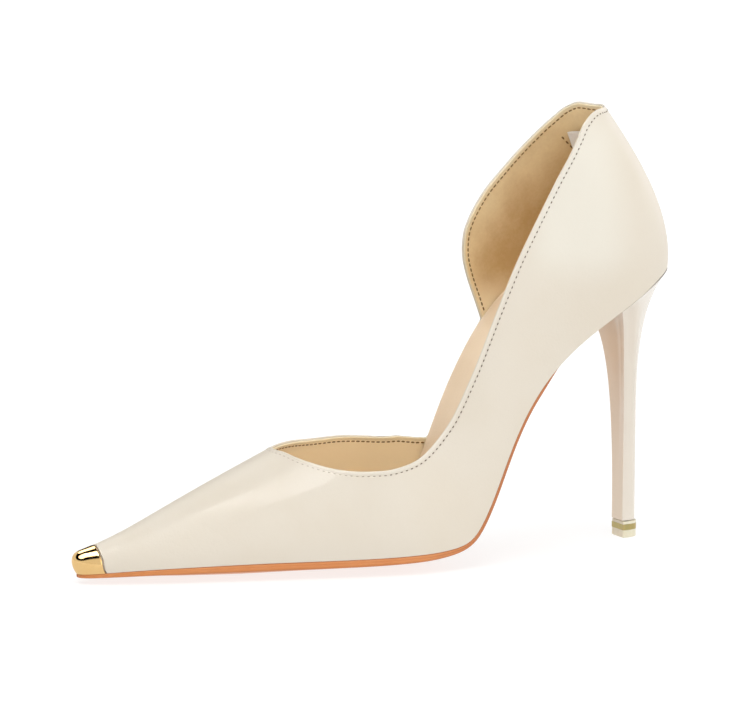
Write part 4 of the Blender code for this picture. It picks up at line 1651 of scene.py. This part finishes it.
@dataclass
class Heel:
    """Covered stiletto heel and its wearing tip."""

    last: Last
    breast_along: float = BREAST_ALONG
    outer_breast_along: float = 85.8
    clearance: float = CLEARANCE
    joint: float = 0.08 * MM
    joint_end: float = 0.93
    stem_front: float = 216.7 * MM
    stem_width: float = 8.0 * MM
    stem_depth: float = 6.9 * MM
    stem_power: float = 0.8
    tip_height: float = 6.2 * MM
    tip_overhang: float = 0.2 * MM
    tip_setback: float = 0.5 * MM
    tip_round: float = 0.35 * MM
    tip_curve: int = 5
    tip_shoulder: Rows = ((0.35 * MM, 0.0), (0.1 * MM, 0.06 * MM), (0.0, 0.25 * MM))
    band_low: float = 2.9 * MM
    band_high: float = 5.1 * MM
    band_proud: float = 0.08 * MM
    band_sunk: float = 0.25 * MM
    band_edge: float = 0.08 * MM
    breast_mark: float = -0.5
    side_steps: int = 44
    breast_steps: int = 12
    levels: int = 90

    def tip_middle(self) -> Array:
        """Middle of the tip in the shoe's own coordinates."""
        return np.array([self.stem_front + self.tip_setback + self.stem_depth / 2, 0.0])

    def outline(self) -> Array:
        """Section of the stem from the outer end of its flat breast round the back to the inner end.

        It is half an oval: depth times a power of the sine, and half the width times the cosine.
        """
        turn = np.linspace(0, np.pi, 2 * self.side_steps + 1)
        depth = self.stem_depth * np.sin(turn) ** self.stem_power
        return np.stack([depth, -self.stem_width / 2 * np.cos(turn)], axis=1)

    def seat_line(self, across: float) -> Array:
        """Line under the seat from the breast to the back, in a joint that opens towards the back.

        Args:
            across: 0 at the outer and 1 at the inner edge of the heel.

        Returns:
            Points in a row.
        """
        start = self.outer_breast_along + (self.breast_along - self.outer_breast_along) * across
        ways = np.linspace(self.last.path_at(start), 1.0, self.side_steps + 1)
        opened = smooth((ways - self.joint_end) / (1 - self.joint_end))
        depth = (self.joint + (self.clearance - self.joint) * opened)[:, None]
        return self.last.bottom(ways, np.zeros(1), np.array([across]), depth)[:, 0]

    def make_cover(self, finish: CoveredHeel) -> bpy.types.Object:
        """Heel whose top follows the seat and whose sides fall in hollow curves to the stem.

        Every point of the top is joined to its point of the stem by a cubic Bezier curve that leaves
        the seat at the flare's angle and comes down on the stem upright.
        """
        strips = np.linspace(0, 1, self.breast_steps + 1)
        seat = np.stack([self.seat_line(strip) for strip in strips], axis=1)
        top = np.concatenate([seat[:, 0], seat[-2::-1, -1], seat[0, -2:0:-1]])
        across = (1 - 2 * strips[1:-1]) * self.stem_width / 2
        stem = np.concatenate([self.outline(), np.stack([np.zeros_like(across), across], axis=1)])
        level = np.full(len(stem), self.tip_height + self.clearance)
        foot = np.stack([self.stem_front + stem[:, 0], stem[:, 1], level], axis=1)
        half = np.linspace(0, 1, self.side_steps + 1)
        place = np.concatenate([half, half[-2::-1], np.zeros(len(across))])
        flare = SteadyTable(HEEL_FLARE, FLARE_COLUMNS).at(place)
        inward = unit((foot - top) * (1 - UP))
        angle = np.radians(flare["angle"])
        leave = inward * np.sin(angle) - UP * np.cos(angle)
        low = foot + UP * flare["stem_pull"] * MM
        high = top + leave * flare["seat_pull"] * MM
        rise = np.linspace(0, 1, self.levels + 1)[:, None, None]
        rings = bezier(foot, low, high, top, rise)
        breast = np.full(len(across), self.breast_mark)
        turn = np.concatenate([half, half[-2::-1], breast])
        marks = np.stack(np.broadcast_arrays(turn[None, :], rise[..., 0]), axis=-1)
        shell = Shell()
        shell.wrap(shell.add(rings, marks))
        shell.disc(rings[0])
        shell.cover(shell.add(seat))
        return settle(shell.build("heel_cover", finish.material(), crease=32.0), "heel", "heel")

    def tip_ring(self, grow: Array, height: Array) -> Array:
        """Rings round the tip.

        Args:
            grow: Distance out of the stem's outline, one for each ring.
            height: Height of each ring.

        Returns:
            Points by ring and place round it.
        """
        ring = self.outline() + np.array([self.stem_front + self.tip_setback, 0.0])
        middle = self.tip_middle()
        wide = middle + (ring - middle) * (1 + 2 * np.asarray(grow)[:, None, None] / self.stem_depth)
        level = np.broadcast_to(np.asarray(height)[:, None, None], (*wide.shape[:-1], 1))
        return np.concatenate([wide, level], axis=-1)

    def make_tip(self, finish: PaleRubber, band: PolishedGold) -> None:
        """Wearing tip with a rounded lower edge, and a plain thin band let into its side."""
        turn = np.linspace(0, np.pi / 2, self.tip_curve + 1)
        below, drawn_in = np.array(self.tip_shoulder).T
        foot = self.tip_overhang - self.tip_round * (1 - np.sin(turn))
        grow = np.concatenate([foot, self.tip_overhang - drawn_in])
        height = np.concatenate([self.tip_round * (1 - np.cos(turn)), self.tip_height - below])
        rings = self.tip_ring(grow, height)
        shell = Shell()
        shell.wrap(shell.add(rings))
        shell.disc(rings[0])
        shell.disc(rings[-1])
        settle(shell.build("wearing_tip", finish.material(), crease=35.0), "heel_tip", "heel_tip")
        low, high, edge = self.band_low, self.band_high, self.band_edge
        proud = self.tip_overhang + self.band_proud
        sunk = self.tip_overhang - self.band_sunk
        rings = self.tip_ring(
            np.array([sunk, proud - edge, proud, proud, proud - edge, sunk, sunk]),
            np.array([low, low, low + edge, high - edge, high, high, low]),
        )
        shell = Shell()
        shell.wrap(shell.add(rings))
        settle(shell.build("tip_band", band.material(), crease=35.0), "heel_tip")


@dataclass
class LiningLabel:
    """Small blank woven label sewn to the lining behind the heel."""

    last: Last
    depth: float = 2.05 * MM
    thickness: float = 0.7 * MM
    ways: Range = (1.030, 1.078)
    shares: Range = (0.453, 0.514)
    wall: float = WALL
    seam_ways: Range = (1.0870, 1.0775)
    seam_shares: Range = (0.504, 0.443)
    steps: int = 28
    pillow_power: float = 6.0

    def make(self, finish: WovenTape) -> bpy.types.Object:
        """Two faces on the lining, rounded towards the border by a power of the distance from it."""
        place = np.linspace(0, 1, self.steps + 1)
        way = np.interp(place, (0, 1), self.ways)[:, None]
        share = np.interp(place, (0, 1), self.shares)[None, :]
        way, share = np.broadcast_arrays(way, share)
        inward = np.minimum(place, 1 - place)
        border = np.minimum.outer(inward, inward) * 2
        pillow = (1 - (1 - border) ** self.pillow_power)[..., None]
        middle = self.depth + self.thickness / 2
        front = self.last.inside(way, share, middle + self.thickness / 2 * pillow)
        back = self.last.inside(way, share, middle - self.thickness / 2 * pillow)
        along = np.linalg.norm(np.diff(front, axis=0), axis=-1).mean() * self.steps / MM
        up = np.linalg.norm(np.diff(front, axis=1), axis=-1).mean() * self.steps / MM
        marks = np.stack(np.broadcast_arrays(place[:, None] * along, place[None, :] * up), axis=-1)
        shell = Shell()
        shell.cover(shell.add(front, marks))
        shell.cover(shell.add(back, marks))
        piece = shell.build("label_tape", finish.material(), crease=60.0)
        return settle(piece, "lining_label", "lining_label")

    def make_stitches(self, thread: SewingThread) -> bpy.types.Object:
        """A few stitches through the lining beside the label's free end."""
        way = np.linspace(*self.seam_ways, self.steps)
        share = np.linspace(*self.seam_shares, self.steps)
        path = self.last.inside(way, share, self.wall)
        normals = -self.last.normal(way, share)
        stitches = LABEL_ROW.build("label_stitches", path, normals, thread.material())
        return settle(stitches, "lining_label")


def aim(turn: float, lift: float) -> tuple[float, float, float]:
    """Unit vector from a turn off the outer side and a lift over the floor, in degrees."""
    turn, lift = np.radians([turn, lift])
    return (np.sin(turn) * np.cos(lift), -np.cos(turn) * np.cos(lift), np.sin(lift))


@dataclass(frozen=True)
class Lamp:
    """Round soft lamp, far away: its place, radius and soft border in degrees, and its glow."""

    turn: float
    lift: float
    radius: float
    soft: float
    glow: float

    def glow_on(self, board: Board, direction: Wire) -> Wire:
        """The lamp's glow in each direction: full inside the radius, none outside."""
        near = board.vector("DOT_PRODUCT", direction, aim(self.turn, self.lift), out="Value")
        far, close = np.cos(np.radians([self.radius + self.soft, self.radius - self.soft]))
        return near.rise(far, close) * self.glow


@dataclass(frozen=True)
class Bar:
    """Long soft lamp with round ends, far away: its ends as turn and lift, the rest as for a Lamp."""

    start: Range
    end: Range
    radius: float
    soft: float
    glow: float

    def glow_on(self, board: Board, direction: Wire) -> Wire:
        """The lamp's glow in each direction: full within the radius of the line between its ends."""
        first, last = np.array(aim(*self.start)), np.array(aim(*self.end))
        run = last - first
        along = board.vector("SUBTRACT", direction, tuple(first))
        part = board.vector("DOT_PRODUCT", along, tuple(run / (run @ run)), out="Value")
        part = board.node("ShaderNodeClamp", None, {"Value": part})
        nearest = board.vector("MULTIPLY_ADD", part, tuple(run), tuple(first))
        away = board.vector("DISTANCE", direction, nearest, out="Value")
        close, far = 2 * np.sin(np.radians([self.radius - self.soft, self.radius + self.soft]) / 2)
        return away.fall(close, far) * self.glow


@dataclass
class Studio:
    """Pale floor, soft light and the camera."""

    azimuth: float = -25.9
    elevation: float = 8.5
    roll: float = 0.4
    distance: float = 1.5
    target: tuple[float, float, float] = (115.25 * MM, 0.0, 72.73 * MM)
    sensor: float = 36.0
    lens: float = 203.4
    clip_end: float = 100.0
    floor_size: float = 14.0
    floor_cells: int = 8
    overhead: Lamp = Lamp(-26.0, 77.0, 17.0, 2.0, 4.2)
    lamps: tuple[Lamp, ...] = (
        Lamp(12.0, 15.0, 20.0, 8.0, 1.3),
        Lamp(118.0, 8.0, 9.0, 3.0, 1.3),
    )
    surround: Bar = Bar((150.0, 87.0), (-66.0, 46.0), 36.0, 2.0, 1.0)
    strips: tuple[Bar, ...] = (
        Bar((-24.0, 73.0), (-58.0, 44.0), 14.0, 2.0, 4.2),
        Bar((167.0, 49.0), (-160.0, 62.0), 8.0, 1.5, 4.2),
        Bar((-50.0, 77.0), (-12.5, 56.5), 1.6, 0.7, 36.0),
    )
    cards: tuple[Lamp, ...] = (Lamp(158.0, 22.0, 15.0, 2.0, 1.0),)
    line_ends: Profile = ((-24.0, 65.0), (-9.5, 52.0))
    line_width: float = 1.8
    line_soft: Range = (0.6, 1.4)
    line_glow: float = 13.5
    wall_glow: float = 1.0

    def make_camera(self) -> None:
        """Camera turned by its azimuth, elevation and roll about the target."""
        turn, roll = np.radians([self.azimuth, self.roll])
        back = np.array(aim(self.azimuth, self.elevation))
        right = np.array([np.cos(turn), np.sin(turn), 0.0])
        upward = np.cross(back, right)
        across = right * np.cos(roll) + upward * np.sin(roll)
        above = upward * np.cos(roll) - right * np.sin(roll)
        matrix = np.eye(4)
        matrix[:3, :3] = np.stack([across, above, back], axis=1)
        matrix[:3, 3] = np.array(self.target) + Shell.origin + back * self.distance
        data = bpy.data.cameras.new("camera")
        data.sensor_width = self.sensor
        data.lens = self.lens
        data.clip_end = self.clip_end
        camera = bpy.data.objects.new("camera", data)
        camera.matrix_world = Matrix(matrix.tolist())
        bpy.context.scene.collection.objects.link(camera)
        bpy.context.scene.camera = camera

    def make_floor(self) -> None:
        """Level floor with a faint mottle."""
        line = np.linspace(-0.5, 0.5, self.floor_cells + 1) * self.floor_size
        x, y = np.meshgrid(line, line, indexing="ij")
        grid = np.stack([x, y, np.zeros_like(x)], axis=-1)
        shell = Shell()
        shell.cover(shell.add(grid - Shell.origin))
        floor = shell.build("floor", FloorPaint().material())
        if floor.data.polygons[0].normal.z < 0:
            floor.data.flip_normals()

    def stripe(self, board: Board, direction: Wire) -> Wire:
        """1 on a stripe right round: the directions square to a pole, within the stripe's width."""
        pole = unit(np.cross(*(aim(*end) for end in self.line_ends)))
        off_line = board.vector("DOT_PRODUCT", direction, tuple(pole), out="Value")
        near, far = np.sin(np.radians(self.line_width)) * np.array(self.line_soft)
        return off_line.math("ABSOLUTE", off_line).fall(near, far)

    def make_light(self) -> None:
        """White surroundings with soft lamps and dark cards; the camera sees plain white.

        A lamp overhead and a bright stripe light the shoe from a dark surround. Polished faces mirror
        long strips in that surround in their place.
        """
        scene = bpy.context.scene
        world = bpy.data.worlds.new("studio")
        scene.world = world
        world.use_nodes = True
        board = Board(world.node_tree)
        direction = board.node("ShaderNodeTexCoord", out="Generated")
        dark = self.surround.glow_on(board, direction)
        glow = self.wall_glow * (1 - dark)
        for card in self.cards:
            glow = glow * (1 - card.glow_on(board, direction))
        for lamp in self.lamps:
            glow = glow + lamp.glow_on(board, direction)
        mirrored = board.node("ShaderNodeLightPath", out="Is Glossy Ray")
        stripe = self.stripe(board, direction) * dark * self.line_glow
        key = self.overhead.glow_on(board, direction) + stripe
        glow = glow + key * (1 - mirrored)
        for strip in self.strips:
            glow = glow.math("MAXIMUM", glow, strip.glow_on(board, direction) * mirrored)
        camera_ray = board.node("ShaderNodeLightPath", out="Is Camera Ray")
        strength = camera_ray + (1 - camera_ray) * glow
        values = {"Color": (1.0, 1.0, 1.0), "Strength": strength}
        light = board.node("ShaderNodeBackground", None, values)
        board.node("ShaderNodeOutputWorld", None, {"Surface": light})
        scene.view_settings.view_transform = "Standard"


def main() -> None:
    """Builds the studio and the shoe."""
    logging.basicConfig(level=logging.INFO, format="%(name)s: %(message)s")
    last = Last()
    heel = Heel(last)
    low, high = (np.array(corner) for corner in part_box("heel_tip"))
    Shell.origin = np.append((low + high)[:2] / 2 - heel.tip_middle(), 0.0)
    studio = Studio()
    studio.make_camera()
    studio.make_floor()
    studio.make_light()
    upper = Upper(last)
    upper.make_leather(GlossLeather())
    upper.make_lining(SoftLining())
    upper.make_stitches(EDGE_THREAD, LINING_THREAD)
    ToeCap(last).make(PolishedGold())
    bottom = Bottom(last)
    bottom.make_outsole(SoleLeather())
    bottom.make_insole(SockLeather())
    heel.make_cover(CoveredHeel())
    heel.make_tip(PaleRubber(), BAND_GOLD)
    label = LiningLabel(last)
    label.make(WovenTape())
    label.make_stitches(LINING_THREAD)


if __name__ == "__main__":
    main()
